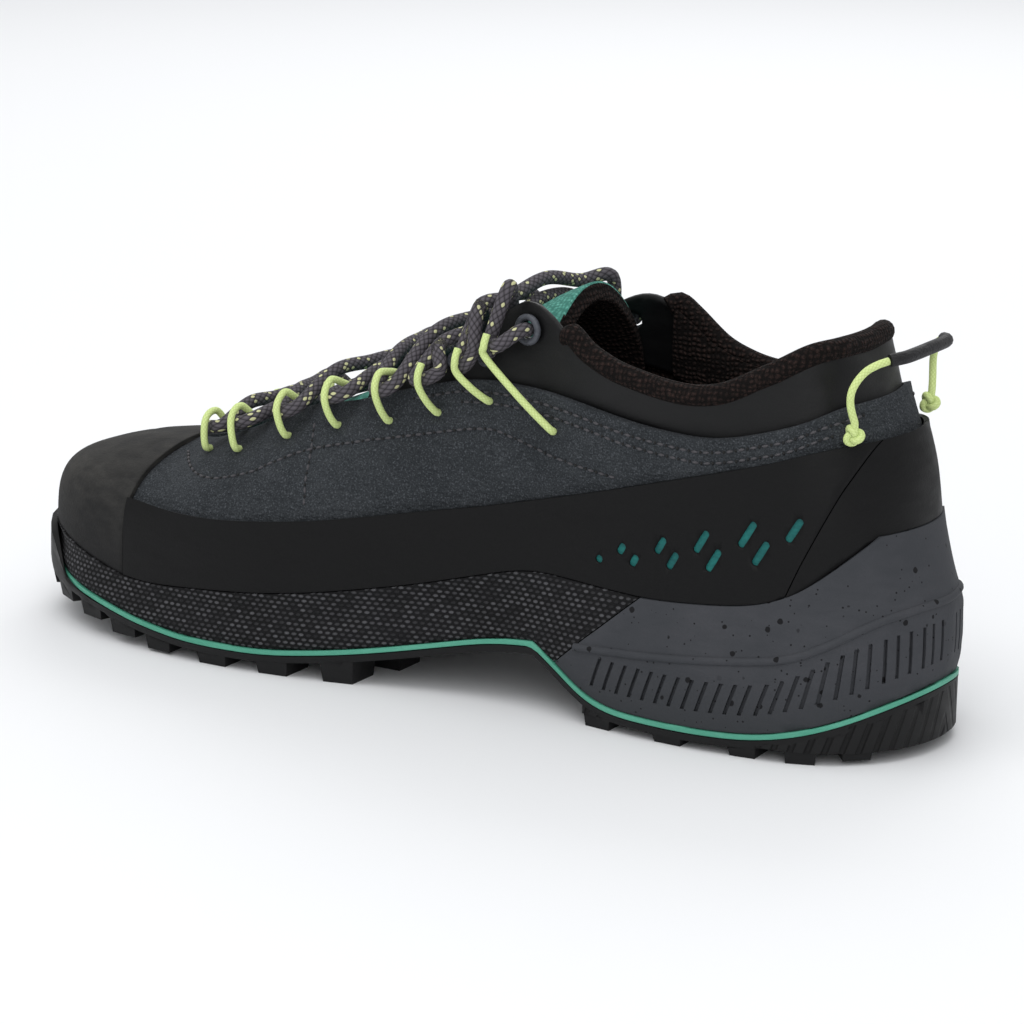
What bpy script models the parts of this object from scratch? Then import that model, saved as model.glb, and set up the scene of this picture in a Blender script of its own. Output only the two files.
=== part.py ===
"""Approach shoe for the right foot, standing empty on its sole.

The toe points along +X, the inner (medial) side faces +Y and Z is up. Every piece is
worked out from one last surface: stations run round the shoe from the heel back along
the medial side, over the toe tip and back along the lateral side, and each station
carries an upright section from the feather edge to the top line.
"""
import math
from collections import namedtuple

import bmesh
import bpy
from mathutils import Matrix, Vector

# Driving dimensions
LENGTH = 0.278
BALL_WIDTH = 0.093
HEEL_WIDTH = 0.0765
COLLAR_HEIGHT = 0.1035
INSTEP_HEIGHT = 0.1108
TOE_HEIGHT = 0.0555
HEEL_STACK = 0.0305
CUP_HEIGHT = 0.059
GAP = 0.0003
UPPER_WALL = 0.0020
CUFF_WALL = 0.0015
RAND_WALL = 0.0013
TOE_CAP_WALL = 0.0014
RIM_WALL = 0.0018
STRIP_THICKNESS = 0.0013
BASE_THICKNESS = 0.0020
LINING_THICKNESS = 0.0034
LINING_RISE = 0.0022
INSOLE_THICKNESS = 0.0032
TONGUE_THICKNESS = 0.0045
LACE_DIAMETER = 0.0043
LOOP_CORD_DIAMETER = 0.0021
PULL_CORD_DIAMETER = 0.0021
SLEEVE_DIAMETER = 0.0034
KNOT_DIAMETER = 0.0062
EYELET_HOLE = 0.0052
EYELET_RING = 0.0017
CUFF_FRONT = 0.59
RIB_WIDTH = 0.0011
RIB_DEPTH = 0.0008
RIB_PITCH = 0.0040
LUG_TAPER = 0.86

# The toe and heel fans turn about these points of the length
HEEL_CENTRE = 0.14
TOE_CENTRE = 0.835
RIDGE_SHIFT = 0.032
HEEL_LAST = 5
TOE_FIRST = 17

# Heights of the section levels, as shares of the section's own height
LEVELS = (0.0, 0.15, 0.38, 0.62, 0.82, 0.94, 1.0)

# Sections: along is a share of LENGTH, side a share of the local width, and the rest
# are shares of the reach from the spine to the sole's outline at each level
Section = namedtuple("Section", "along side foot low belly flank shoulder crown edge")
HEEL_BACK = Section(0.000, 0.000, 0.72, 0.78, 0.77, 0.705, 0.518, 0.425, 0.367)
MEDIAL = (
    Section(0.008, 0.156, 0.735, 0.795, 0.785, 0.715, 0.535, 0.455, 0.40),
    Section(0.030, 0.293, 0.76, 0.82, 0.81, 0.73, 0.60, 0.53, 0.485),
    Section(0.061, 0.397, 0.775, 0.84, 0.84, 0.755, 0.69, 0.635, 0.60),
    Section(0.099, 0.460, 0.78, 0.85, 0.85, 0.785, 0.735, 0.715, 0.70),
    Section(0.140, 0.484, 0.78, 0.84, 0.85, 0.80, 0.785, 0.77, 0.765),
    Section(0.20, 0.500, 0.77, 0.82, 0.825, 0.82, 0.84, 0.85, 0.86),
    Section(0.26, 0.493, 0.77, 0.82, 0.83, 0.85, 0.875, 0.90, 0.91),
    Section(0.32, 0.467, 0.81, 0.86, 0.865, 0.89, 0.92, 0.94, 0.944),
    Section(0.38, 0.412, 0.85, 0.91, 0.93, 0.95, 0.95, 0.95, 0.945),
    Section(0.44, 0.391, 0.90, 0.96, 0.97, 0.94, 0.89, 0.86, 0.84),
    Section(0.50, 0.396, 0.89, 0.955, 0.96, 0.905, 0.82, 0.765, 0.74),
    Section(0.56, 0.426, 0.89, 0.95, 0.945, 0.875, 0.745, 0.65, 0.61),
    Section(0.62, 0.459, 0.89, 0.94, 0.937, 0.88, 0.70, 0.565, 0.49),
    Section(0.68, 0.483, 0.89, 0.94, 0.94, 0.89, 0.70, 0.52, 0.42),
    Section(0.74, 0.488, 0.89, 0.94, 0.936, 0.905, 0.70, 0.48, 0.33),
    Section(0.80, 0.477, 0.885, 0.935, 0.93, 0.91, 0.72, 0.45, 0.16),
    Section(0.835, 0.461, 0.88, 0.93, 0.927, 0.915, 0.75, 0.43, 0.0),
    Section(0.881, 0.430, 0.88, 0.93, 0.925, 0.91, 0.78, 0.44, 0.0),
    Section(0.925, 0.377, 0.87, 0.925, 0.92, 0.905, 0.80, 0.45, 0.0),
    Section(0.965, 0.294, 0.865, 0.915, 0.915, 0.90, 0.80, 0.42, 0.0),
    Section(0.998, 0.179, 0.86, 0.905, 0.905, 0.88, 0.75, 0.33, 0.0),
)
TOE_TIP = Section(1.012, 0.032, 0.86, 0.90, 0.90, 0.86, 0.66, 0.24, 0.0)
LATERAL = (
    Section(0.008, 0.156, 0.735, 0.795, 0.785, 0.715, 0.535, 0.455, 0.40),
    Section(0.030, 0.293, 0.76, 0.82, 0.81, 0.73, 0.60, 0.53, 0.485),
    Section(0.061, 0.397, 0.775, 0.84, 0.84, 0.755, 0.69, 0.635, 0.60),
    Section(0.099, 0.465, 0.78, 0.85, 0.85, 0.785, 0.735, 0.715, 0.70),
    Section(0.140, 0.494, 0.78, 0.84, 0.85, 0.80, 0.785, 0.77, 0.765),
    Section(0.20, 0.503, 0.77, 0.82, 0.825, 0.82, 0.83, 0.84, 0.85),
    Section(0.26, 0.502, 0.77, 0.82, 0.83, 0.84, 0.86, 0.88, 0.89),
    Section(0.32, 0.495, 0.78, 0.83, 0.85, 0.86, 0.87, 0.87, 0.87),
    Section(0.38, 0.493, 0.85, 0.905, 0.91, 0.87, 0.82, 0.78, 0.76),
    Section(0.44, 0.494, 0.89, 0.95, 0.95, 0.86, 0.75, 0.67, 0.63),
    Section(0.50, 0.501, 0.90, 0.955, 0.955, 0.855, 0.71, 0.61, 0.56),
    Section(0.56, 0.510, 0.90, 0.955, 0.948, 0.85, 0.69, 0.58, 0.52),
    Section(0.62, 0.515, 0.89, 0.95, 0.948, 0.855, 0.68, 0.56, 0.48),
    Section(0.68, 0.514, 0.89, 0.945, 0.942, 0.86, 0.68, 0.53, 0.43),
    Section(0.74, 0.495, 0.89, 0.94, 0.94, 0.87, 0.69, 0.50, 0.35),
    Section(0.80, 0.460, 0.885, 0.935, 0.935, 0.875, 0.70, 0.45, 0.16),
    Section(0.835, 0.429, 0.88, 0.93, 0.93, 0.88, 0.71, 0.42, 0.0),
    Section(0.882, 0.379, 0.88, 0.93, 0.925, 0.87, 0.70, 0.40, 0.0),
    Section(0.927, 0.320, 0.87, 0.925, 0.92, 0.865, 0.69, 0.37, 0.0),
    Section(0.967, 0.235, 0.865, 0.915, 0.91, 0.86, 0.68, 0.33, 0.0),
    Section(1.000, 0.117, 0.86, 0.905, 0.905, 0.86, 0.67, 0.28, 0.0),
)

# Lines over the length: along is a share of LENGTH
Line = namedtuple("Line", "along medial lateral")
TOP_LINE = (
    Line(0, 1.004, 1.004), Line(0.061, 1.000, 1.000), Line(0.099, 0.987, 0.978),
    Line(0.14, 0.941, 0.917), Line(0.2, 0.871, 0.825), Line(0.26, 0.859, 0.809),
    Line(0.29, 0.860, 0.817), Line(0.32, 0.870, 0.849), Line(0.35, 0.906, 0.915),
    Line(0.38, 0.980, 0.946), Line(0.41, 0.996, 0.914), Line(0.44, 0.927, 0.868),
    Line(0.47, 0.862, 0.823), Line(0.5, 0.819, 0.782), Line(0.56, 0.782, 0.756),
    Line(0.62, 0.800, 0.779), Line(0.68, 0.848, 0.832), Line(0.74, 0.908, 0.898),
    Line(0.8, 0.947, 0.941), Line(0.835, 0.948, 0.948), Line(1, 0.948, 0.948),
)
SUEDE_LINE = (
    Line(0, 0.885, 0.885), Line(0.061, 0.876, 0.876), Line(0.099, 0.839, 0.839),
    Line(0.14, 0.813, 0.800), Line(0.2, 0.776, 0.755), Line(0.26, 0.786, 0.757),
    Line(0.32, 0.814, 0.790), Line(0.38, 0.839, 0.839), Line(0.41, 0.843, 0.843),
    Line(0.44, 0.844, 0.844), Line(0.47, 0.832, 0.832), Line(0.5, 0.811, 0.811),
    Line(0.56, 0.763, 0.763), Line(0.62, 0.715, 0.715), Line(0.65, 1.000, 1.000),
    Line(1, 1.000, 1.000),
)
RAND_TOP = (
    Line(0, 0.793, 0.793), Line(0.061, 0.784, 0.784), Line(0.14, 0.735, 0.735),
    Line(0.2, 0.692, 0.692), Line(0.26, 0.647, 0.647), Line(0.32, 0.601, 0.601),
    Line(0.38, 0.558, 0.558), Line(0.44, 0.519, 0.519), Line(0.5, 0.487, 0.487),
    Line(0.56, 0.454, 0.454), Line(0.62, 0.425, 0.425), Line(0.68, 0.405, 0.405),
    Line(0.74, 0.392, 0.392), Line(0.8, 0.393, 0.393), Line(0.835, 0.397, 0.397),
    Line(1, 0.392, 0.392),
)
RIM_LINE = (
    Line(0, 1.000, 1.000), Line(0.03, 0.993, 0.993), Line(0.061, 0.878, 0.878),
    Line(0.099, 0.744, 0.744), Line(0.14, 0.678, 0.678), Line(0.18, 0.647, 0.647),
    Line(0.26, 0.620, 0.620), Line(0.32, 0.637, 0.637), Line(0.38, 0.653, 0.653),
    Line(0.44, 0.593, 0.593), Line(0.5, 0.519, 0.519), Line(0.56, 0.463, 0.463),
    Line(0.62, 0.412, 0.412), Line(0.68, 0.376, 0.376), Line(0.74, 0.354, 0.354),
    Line(0.8, 0.334, 0.334), Line(0.835, 0.342, 0.342), Line(0.878, 0.378, 0.378),
    Line(0.919, 0.420, 0.420), Line(0.956, 0.453, 0.453), Line(1, 0.475, 0.475),
)
BAND_LINE = (
    Line(0, 0.678, 0.678), Line(0.03, 0.647, 0.647), Line(0.061, 0.590, 0.590),
    Line(0.099, 0.485, 0.485), Line(0.14, 0.407, 0.407), Line(0.2, 0.386, 0.386),
    Line(0.26, 0.390, 0.390), Line(0.32, 0.397, 0.397), Line(0.38, 0.444, 0.444),
    Line(0.44, 0.415, 0.415), Line(0.5, 0.361, 0.361), Line(0.62, 0.271, 0.271),
    Line(0.74, 0.227, 0.227), Line(0.8, 0.231, 0.231), Line(0.86, 0.278, 0.278),
    Line(0.92, 0.325, 0.325), Line(1, 0.354, 0.354),
)
STRIP_LINE = (
    Line(0, 0.639, 0.639), Line(0.03, 0.518, 0.518), Line(0.054, 0.420, 0.420),
    Line(0.094, 0.295, 0.295), Line(0.14, 0.220, 0.220), Line(0.2, 0.197, 0.197),
    Line(0.26, 0.203, 0.203), Line(0.3, 0.230, 0.230), Line(0.35, 0.485, 0.485),
    Line(0.38, 0.643, 0.643), Line(0.42, 0.610, 0.610), Line(0.475, 0.505, 0.505),
    Line(0.525, 0.410, 0.410), Line(0.6, 0.302, 0.302), Line(0.68, 0.233, 0.233),
    Line(0.74, 0.233, 0.233), Line(0.81, 0.302, 0.302), Line(0.895, 0.436, 0.436),
    Line(0.94, 0.498, 0.498), Line(1, 0.551, 0.551),
)
DECK_LINE = (
    Line(0, 1.098, 1.098), Line(0.14, 1.003, 1.003), Line(0.26, 0.931, 0.931),
    Line(0.38, 0.849, 0.849), Line(0.5, 0.695, 0.695), Line(0.62, 0.515, 0.515),
    Line(0.68, 0.443, 0.443), Line(0.74, 0.413, 0.413), Line(0.8, 0.426, 0.426),
    Line(0.86, 0.498, 0.498), Line(0.9, 0.557, 0.557), Line(0.94, 0.616, 0.616),
    Line(1, 0.695, 0.695),
)
GROUND_LINE = (
    Line(0, 0.321, 0.321), Line(0.03, 0.170, 0.170), Line(0.06, 0.046, 0.046),
    Line(0.085, 0.000, 0.000), Line(0.75, 0.000, 0.000), Line(0.82, 0.069, 0.069),
    Line(0.9, 0.207, 0.207), Line(0.955, 0.289, 0.289), Line(1, 0.387, 0.387),
)
LIP_LINE = (
    Line(0, 0.000, 0.000), Line(0.919, 0.000, 0.000), Line(0.956, 0.308, 0.308),
    Line(0.987, 0.370, 0.370), Line(1, 0.380, 0.380),
)

# Tongue rows: ridge is a share of INSTEP_HEIGHT, margin and foot are section heights
TongueRow = namedtuple("TongueRow", "along ridge margin foot")
TONGUE_ROWS = (
    TongueRow(0.81, 0.474, 0.985, 0.930), TongueRow(0.74, 0.534, 1.000, 0.920), TongueRow(0.68, 0.604, 1.000, 0.900),
    TongueRow(0.62, 0.672, 1.000, 0.900), TongueRow(0.56, 0.752, 1.000, 0.880), TongueRow(0.5, 0.844, 0.970, 0.860),
    TongueRow(0.44, 0.928, 0.930, 0.800), TongueRow(0.41, 0.978, 0.880, 0.760), TongueRow(0.385, 1.011, 0.840, 0.720),
)

# Lace loops from toe to instep: the hole low on the panel, the bight over the lace, and
# how far before and behind the loop the lace turns inward, as a share of LENGTH
LoopRow = namedtuple("LoopRow", "hole_along hole_height top_along top_height turn")
LOOPS = (
    LoopRow(0.778, 0.935, 0.772, 0.975, 0.012), LoopRow(0.728, 0.885, 0.724, 0.955, 0.012),
    LoopRow(0.667, 0.875, 0.664, 0.950, 0.012), LoopRow(0.607, 0.850, 0.605, 0.945, 0.012),
    LoopRow(0.547, 0.810, 0.546, 0.935, 0.012), LoopRow(0.493, 0.785, 0.498, 0.925, 0.014),
    LoopRow(0.435, 0.723, 0.4535, 0.905, 0.0085), LoopRow(0.363, 0.654, 0.419, 0.865, 0.0085),
)
LOW_TOP = 0.93
LOOP_SLACK = 1.17
LACE_LIFT = 0.5 * LACE_DIAMETER + LOOP_CORD_DIAMETER + 2.0 * GAP

EYELET_ALONG = 0.398
EYELET_HEIGHT = 0.905
EYELET_SIDES = 10
SLEEVE_FIRST = 8
LACE_SPARE = 0.0009

# Pull loop at the heel: steps from the medial knot to the middle behind the heel, which
# are mirrored to the lateral knot, along, across and up
KNOT_PLACE = 2.8
KNOT_DROP = 0.10
PULL_ROUTE = (
    (-0.0004, 0.0004, 0.0036), (0.0002, 0.0018, 0.0080), (0.0000, 0.0014, 0.0125),
    (-0.0022, -0.0016, 0.0168), (-0.0060, -0.0062, 0.0190), (-0.0088, -0.0110, 0.0196),
)

# Lean of the ribs, and how far short of the toe cap the rands end, in table rows
RIB_LEAN = 0.35
RAND_END = 0.03


def clear_scene():
    for item in list(bpy.data.objects):
        bpy.data.objects.remove(item, do_unlink=True)


def smooth(low, high, value):
    share = min(max((value - low) / (high - low), 0.0), 1.0)
    return share * share * (3.0 - 2.0 * share)


def catmull(before, start, end, after, share):
    """Point of a smooth curve between start and end."""
    slope_in = 0.5 * (end - before)
    slope_out = 0.5 * (after - start)
    square = share * share
    cube = square * share
    return (
        (2.0 * cube - 3.0 * square + 1.0) * start
        + (cube - 2.0 * square + share) * slope_in
        + (3.0 * square - 2.0 * cube) * end
        + (cube - square) * slope_out
    )


def curve_through(xs, ys, x):
    """Monotone curve through a table, so that no value overshoots its neighbours."""
    if x <= xs[0]:
        return ys[0]
    if x >= xs[-1]:
        return ys[-1]
    index = max(i for i in range(len(xs) - 1) if xs[i] <= x)
    steps = [xs[i + 1] - xs[i] for i in range(len(xs) - 1)]
    slopes = [(ys[i + 1] - ys[i]) / steps[i] for i in range(len(xs) - 1)]

    def tangent(i):
        if i == 0:
            return slopes[0]
        if i == len(xs) - 1:
            return slopes[-1]
        if slopes[i - 1] * slopes[i] <= 0.0:
            return 0.0
        first = 2.0 * steps[i] + steps[i - 1]
        second = steps[i] + 2.0 * steps[i - 1]
        return (first + second) / (first / slopes[i - 1] + second / slopes[i])

    width = steps[index]
    share = (x - xs[index]) / width
    square = share * share
    cube = square * share
    return (
        (2.0 * cube - 3.0 * square + 1.0) * ys[index]
        + (cube - 2.0 * square + share) * width * tangent(index)
        + (3.0 * square - 2.0 * cube) * ys[index + 1]
        + (cube - square) * width * tangent(index + 1)
    )


def line_value(table, along, side):
    """Value of a line at a share of the length, on the medial (+1) or lateral (-1) side."""
    xs = [row.along for row in table]
    medial = curve_through(xs, [row.medial for row in table], along)
    lateral = curve_through(xs, [row.lateral for row in table], along)
    weight = 0.5 * (1.0 + max(-1.0, min(1.0, side)))
    return lateral + (medial - lateral) * weight


def ring_rows():
    """All sections in ring order, with side made negative on the lateral side."""
    lateral = [row._replace(side=-row.side) for row in LATERAL]
    return [HEEL_BACK, *MEDIAL, TOE_TIP, *reversed(lateral)]


RING = ring_rows()
RING_SIZE = len(RING)
TIP_INDEX = len(MEDIAL) + 1


def section_at(place):
    """Section at a place on the ring: whole numbers are table rows."""
    index = math.floor(place)
    share = place - index
    rows = [RING[(index + step) % RING_SIZE] for step in (-1, 0, 1, 2)]
    if share < 1e-9:
        return rows[1]
    found = Section(*(catmull(*values, share) for values in zip(*rows)))
    along = rows[1].along + (rows[2].along - rows[1].along) * share
    return found._replace(along=along)


def half_width(along):
    blend = smooth(0.30, 0.62, along)
    return HEEL_WIDTH + (BALL_WIDTH - HEEL_WIDTH) * blend


def spine_point(along):
    share = min(max(along, HEEL_CENTRE), TOE_CENTRE)
    return Vector((share * LENGTH, RIDGE_SHIFT * BALL_WIDTH * smooth(0.3, 0.62, share), 0.0))


def outline_point(section):
    return Vector((section.along * LENGTH, section.side * half_width(section.along), 0.0))


def side_weight(section):
    """Goes from +1 on the medial side to -1 on the lateral side across heel and toe."""
    return max(-1.0, min(1.0, section.side / 0.30))


def deck_height(along):
    return line_value(DECK_LINE, along, 0.0) * HEEL_STACK


def top_height(section):
    collar = COLLAR_HEIGHT
    along = min(section.along, TOE_CENTRE)
    collar += (INSTEP_HEIGHT - collar) * smooth(0.20, 0.36, along)
    collar += (TOE_HEIGHT - collar) * smooth(0.50, 0.84, along)
    return collar * line_value(TOP_LINE, along, side_weight(section))


def reach_share(section, height):
    return curve_through(LEVELS, section[2:], height)


def last_point(place, height):
    """Point of the last surface at a ring place and a share of the section's height."""
    section = section_at(place)
    spine = spine_point(section.along)
    point = spine + (outline_point(section) - spine) * reach_share(section, height)
    bottom = deck_height(section.along)
    point.z = bottom + (top_height(section) - bottom) * height
    return point


def is_closed(place):
    return section_at(place).edge < 1e-6


def last_normal(place, height):
    """Outward direction of the last surface."""
    if is_closed(place) and height > 0.999:
        return Vector((0.0, 0.0, 1.0))
    low = max(height - 0.03, 0.0)
    high = min(height + 0.03, 0.985 if is_closed(place) else 1.0)
    along_ring = last_point(place + 0.12, height) - last_point(place - 0.12, height)
    up = last_point(place, high) - last_point(place, low)
    return along_ring.cross(up).normalized() * -1.0


def offset_point(place, height, distance):
    return last_point(place, height) + last_normal(place, height) * distance


def height_of(place, z):
    """Share of the section's height at which the last reaches a height in metres."""
    section = section_at(place)
    bottom = deck_height(section.along)
    return (z - bottom) / (top_height(section) - bottom)


def rim_height(place):
    section = section_at(place)
    return line_value(RIM_LINE, section.along, 0.0) * CUP_HEIGHT


def line_height(table, place):
    section = section_at(place)
    return line_value(table, section.along, side_weight(section))


def edge_height(table, place, limit):
    """Section height of an edge whose table gives shares of the collar's height."""
    return min(height_of(place, line_height(table, place) * COLLAR_HEIGHT), limit)


def suede_height(place):
    beside_cuff = section_at(place).along < CUFF_FRONT + 0.03
    return edge_height(SUEDE_LINE, place, 0.965 if beside_cuff else 1.0)


def mid_places(first, last):
    """Two stations to each row of the table."""
    return [first + 0.5 * step for step in range(int(2 * (last - first)) + 1)]


def ring_places():
    heel = [float(index) for index in range(HEEL_LAST)]
    medial = mid_places(HEEL_LAST, TOE_FIRST)
    toe = [float(index) for index in range(TOE_FIRST + 1, RING_SIZE - TOE_FIRST)]
    lateral = mid_places(RING_SIZE - TOE_FIRST, RING_SIZE - HEEL_LAST)
    back = [float(index) for index in range(RING_SIZE - HEEL_LAST + 1, RING_SIZE)]
    return heel + medial + toe + lateral + back


PLACES = ring_places()
TOE_PLACES = [place for place in PLACES if TOE_FIRST <= place <= RING_SIZE - TOE_FIRST]


def places_behind(along):
    """Stations from the medial side round the heel to the lateral side."""
    kept = [place for place in PLACES if section_at(place).along < along + 1e-6]
    medial = [place for place in kept if place <= TIP_INDEX]
    lateral = [place for place in kept if place > TIP_INDEX]
    return list(reversed(medial)) + list(reversed(lateral))


def material(name, colour, roughness, metallic=0.0):
    made = bpy.data.materials.new(name)
    made.use_nodes = True
    shader = made.node_tree.nodes["Principled BSDF"]
    shader.inputs["Base Color"].default_value = (*colour, 1.0)
    shader.inputs["Roughness"].default_value = roughness
    shader.inputs["Metallic"].default_value = metallic
    made.diffuse_color = (*colour, 1.0)
    return made


def add_object(name, mesh, finish):
    mesh.materials.append(finish)
    mesh.shade_smooth()
    mesh.set_sharp_from_angle(angle=math.radians(40.0))
    item = bpy.data.objects.new(name, mesh)
    bpy.context.scene.collection.objects.link(item)
    return item


def finish_mesh(name, bm):
    bmesh.ops.remove_doubles(bm, verts=bm.verts, dist=1e-6)
    bmesh.ops.dissolve_degenerate(bm, dist=1e-7, edges=bm.edges)
    bmesh.ops.recalc_face_normals(bm, faces=bm.faces)
    mesh = bpy.data.meshes.new(name)
    bm.to_mesh(mesh)
    bm.free()
    return mesh


def loft(columns, ring, closed_profile, skip=None, backward=False):
    """Joins neighbouring columns of points with triangles and caps the ends of an open run.

    Every piece splits its quads along the same diagonal of the last, also where its
    columns run backward round the ring, so that nested walls keep their gap.
    """
    bm = bmesh.new()
    rows = [[bm.verts.new(point) for point in column] for column in columns]
    count = len(rows[0])
    pairs = len(rows) if ring else len(rows) - 1
    spans = count if closed_profile else count - 1
    for i in range(pairs):
        here = rows[i]
        there = rows[(i + 1) % len(rows)]
        for j in range(spans):
            if skip and skip(i, j):
                continue
            k = (j + 1) % count
            if (j >= count // 2) != backward:
                bm.faces.new((here[j], here[k], there[j]))
                bm.faces.new((here[k], there[k], there[j]))
            else:
                bm.faces.new((here[j], here[k], there[k]))
                bm.faces.new((here[j], there[k], there[j]))
    if not ring:
        for column in (rows[0], rows[-1]):
            for j in range(count // 2 - 1):
                bm.faces.new((column[j], column[j + 1], column[-2 - j], column[-1 - j]))
    return bm


def wall_columns(places, heights_of, outer, inner):
    """Closed profiles of a wall: up its outer side and down its inner side."""
    columns = []
    for place in places:
        heights = heights_of(place)
        outside = [offset_point(place, height, outer) for height in heights]
        inside = [offset_point(place, height, inner) for height in reversed(heights)]
        columns.append(outside + inside)
    return columns


def make_wall(name, places, heights_of, outer, inner, finish, backward=False):
    columns = wall_columns(places, heights_of, outer, inner)
    ring = places is PLACES
    rim = len(columns[0]) // 2 - 1

    def shut(i, j):
        following = places[(i + 1) % len(places)]
        top_shut = heights_of(places[i])[-1] > 0.999 and heights_of(following)[-1] > 0.999
        return j == rim and top_shut and is_closed(places[i]) and is_closed(following)

    bm = loft(columns, ring, True, shut, backward)
    return add_object(name, finish_mesh(name, bm), finish)


def between(low, high, shares):
    return [low + (high - low) * share for share in shares]


def upper_heights(place):
    top = suede_height(place)
    return [level * top for level in LEVELS]


def cuff_heights(place):
    top = suede_height(place)
    return [LEVELS[4] * top, LEVELS[5] * top, top, 0.5 * (top + 1.0), 1.0]


def rand_heights(place):
    """Two edges and two rows between them, on rows of the upper wherever one lies there."""
    low = above_rim(place)
    high = edge_height(RAND_TOP, place, 0.95)
    spare = 0.08 * (high - low)
    inner = [height for height in upper_heights(place) if low + spare < height < high - spare]
    inner = inner[:2]
    while len(inner) < 2:
        rows = [low, *inner, high]
        widest = max(range(len(rows) - 1), key=lambda index: rows[index + 1] - rows[index])
        inner.append(0.5 * (rows[widest] + rows[widest + 1]))
        inner.sort()
    return [low, *inner, high]


def above_rim(place):
    return height_of(place, rim_height(place) + GAP)


def toe_cap_heights(place):
    """The cap's lower edge and the upper's rows that lie above that edge all round the toe."""
    highest = max(above_rim(station) for station in TOE_PLACES)
    return [above_rim(place)] + [level for level in LEVELS[2:] if level > highest + 0.05]


def make_upper(finish):
    return make_wall("upper", PLACES, upper_heights, 0.0, -UPPER_WALL, finish)


def make_cuff(finish):
    depth = UPPER_WALL + GAP

    def heights(place):
        return cuff_heights(place)[1:]

    made = make_wall(
        "cuff", places_behind(CUFF_FRONT), heights, -depth, -depth - CUFF_WALL, finish, True
    )
    add_boolean(made, eyelet_cutter(), "DIFFERENCE")


def make_toe_cap(finish):
    return make_wall("toe_cap", TOE_PLACES, toe_cap_heights, GAP + TOE_CAP_WALL, GAP, finish)


def cut_flat(bm, point, normal):
    """Removes what lies on the normal's side of a plane and closes the cut."""
    bmesh.ops.bisect_plane(
        bm,
        geom=[*bm.verts, *bm.edges, *bm.faces],
        dist=1e-6,
        plane_co=point,
        plane_no=normal,
        clear_outer=True,
    )
    edges = [edge for edge in bm.edges if edge.is_boundary]
    bmesh.ops.triangle_fill(bm, edges=edges, use_beauty=True, normal=normal)


def keep_side(bm, side):
    """Keeps the bodies that lie on one side of the shoe's middle."""
    gone = [vert for vert in bm.verts if vert.co.y * side < 0.0]
    bmesh.ops.delete(bm, geom=gone, context="VERTS")


def counter_seam():
    """Slanted plane between the side rands and the heel counter."""
    low = Vector((0.112 * LENGTH, 0.0, 0.44 * COLLAR_HEIGHT))
    high = Vector((0.061 * LENGTH, 0.0, 0.76 * COLLAR_HEIGHT))
    run = high - low
    return low, Vector((run.z, 0.0, -run.x)).normalized()


def make_rand_pieces(finish):
    point, forward = counter_seam()
    ends = (TOE_FIRST - RAND_END, RING_SIZE - TOE_FIRST + RAND_END)
    places = [ends[0], *places_behind(TOE_CENTRE - 0.011), ends[1]]
    snug = 1.5 * GAP
    columns = wall_columns(places, rand_heights, snug + RAND_WALL, snug)
    for name, side in (("rand_medial", 1.0), ("rand_lateral", -1.0)):
        bm = weld(loft(columns, False, True, backward=True))
        cut_flat(bm, point + forward * GAP * 0.5, -forward)
        keep_side(bm, side)
        add_object(name, finish_mesh(name, bm), finish)
    bm = weld(loft(columns, False, True, backward=True))
    cut_flat(bm, point - forward * GAP * 0.5, forward)
    add_object("heel_counter", finish_mesh("heel_counter", bm), finish)


def outline_at(place, share, z):
    section = section_at(place)
    spine = spine_point(section.along)
    point = spine + (outline_point(section) - spine) * share
    point.z = z
    return point


def spine_at(place, z_of):
    along = section_at(place).along
    point = spine_point(along)
    point.z = z_of(min(max(along, HEEL_CENTRE), TOE_CENTRE))
    return point


def strip_top(along):
    return line_value(STRIP_LINE, along, 0.0) * HEEL_STACK


def toe_inset(along):
    return 0.055 * smooth(0.915, 0.960, along)


def midsole_profile(place):
    """From the middle of the deck over the cup's rim and down its side to the middle below."""
    along = section_at(place).along
    deck = deck_height(along) - GAP
    rim = rim_height(place)
    band = line_value(BAND_LINE, along, 0.0) * CUP_HEIGHT
    low = strip_top(along)
    rim_level = height_of(place, rim)
    rows = upper_heights(place)
    snug = 1.4 * GAP
    corner = offset_point(place, 0.0, snug)
    corner.z = deck
    step = 1.0 - smooth(0.30, 0.36, along)
    inset = toe_inset(along)
    above = band + (rim - band) * (0.22 + 0.25 * (1.0 - step))
    return [
        spine_at(place, lambda share: deck_height(share) - GAP),
        corner,
        offset_point(place, min(rows[1], 0.5 * rim_level), snug),
        offset_point(place, min(rows[2], 0.8 * rim_level), snug),
        offset_point(place, rim_level, snug),
        offset_point(place, rim_level, GAP + RIM_WALL),
        outline_at(place, 0.975 - 0.030 * step - inset, above),
        outline_at(place, 0.992 - inset, band),
        outline_at(place, 1.0 - inset, 0.45 * band + 0.55 * low),
        outline_at(place, 0.985 - inset, low),
        spine_at(place, strip_top),
    ]


def midsole_seam():
    """Slanted plane between the woven fore part and the heel part of the midsole."""
    low = Vector((0.338 * LENGTH, 0.0, 0.32 * CUP_HEIGHT))
    high = Vector((0.264 * LENGTH, 0.0, 0.62 * CUP_HEIGHT))
    run = high - low
    return low, Vector((run.z, 0.0, -run.x)).normalized()


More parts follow.
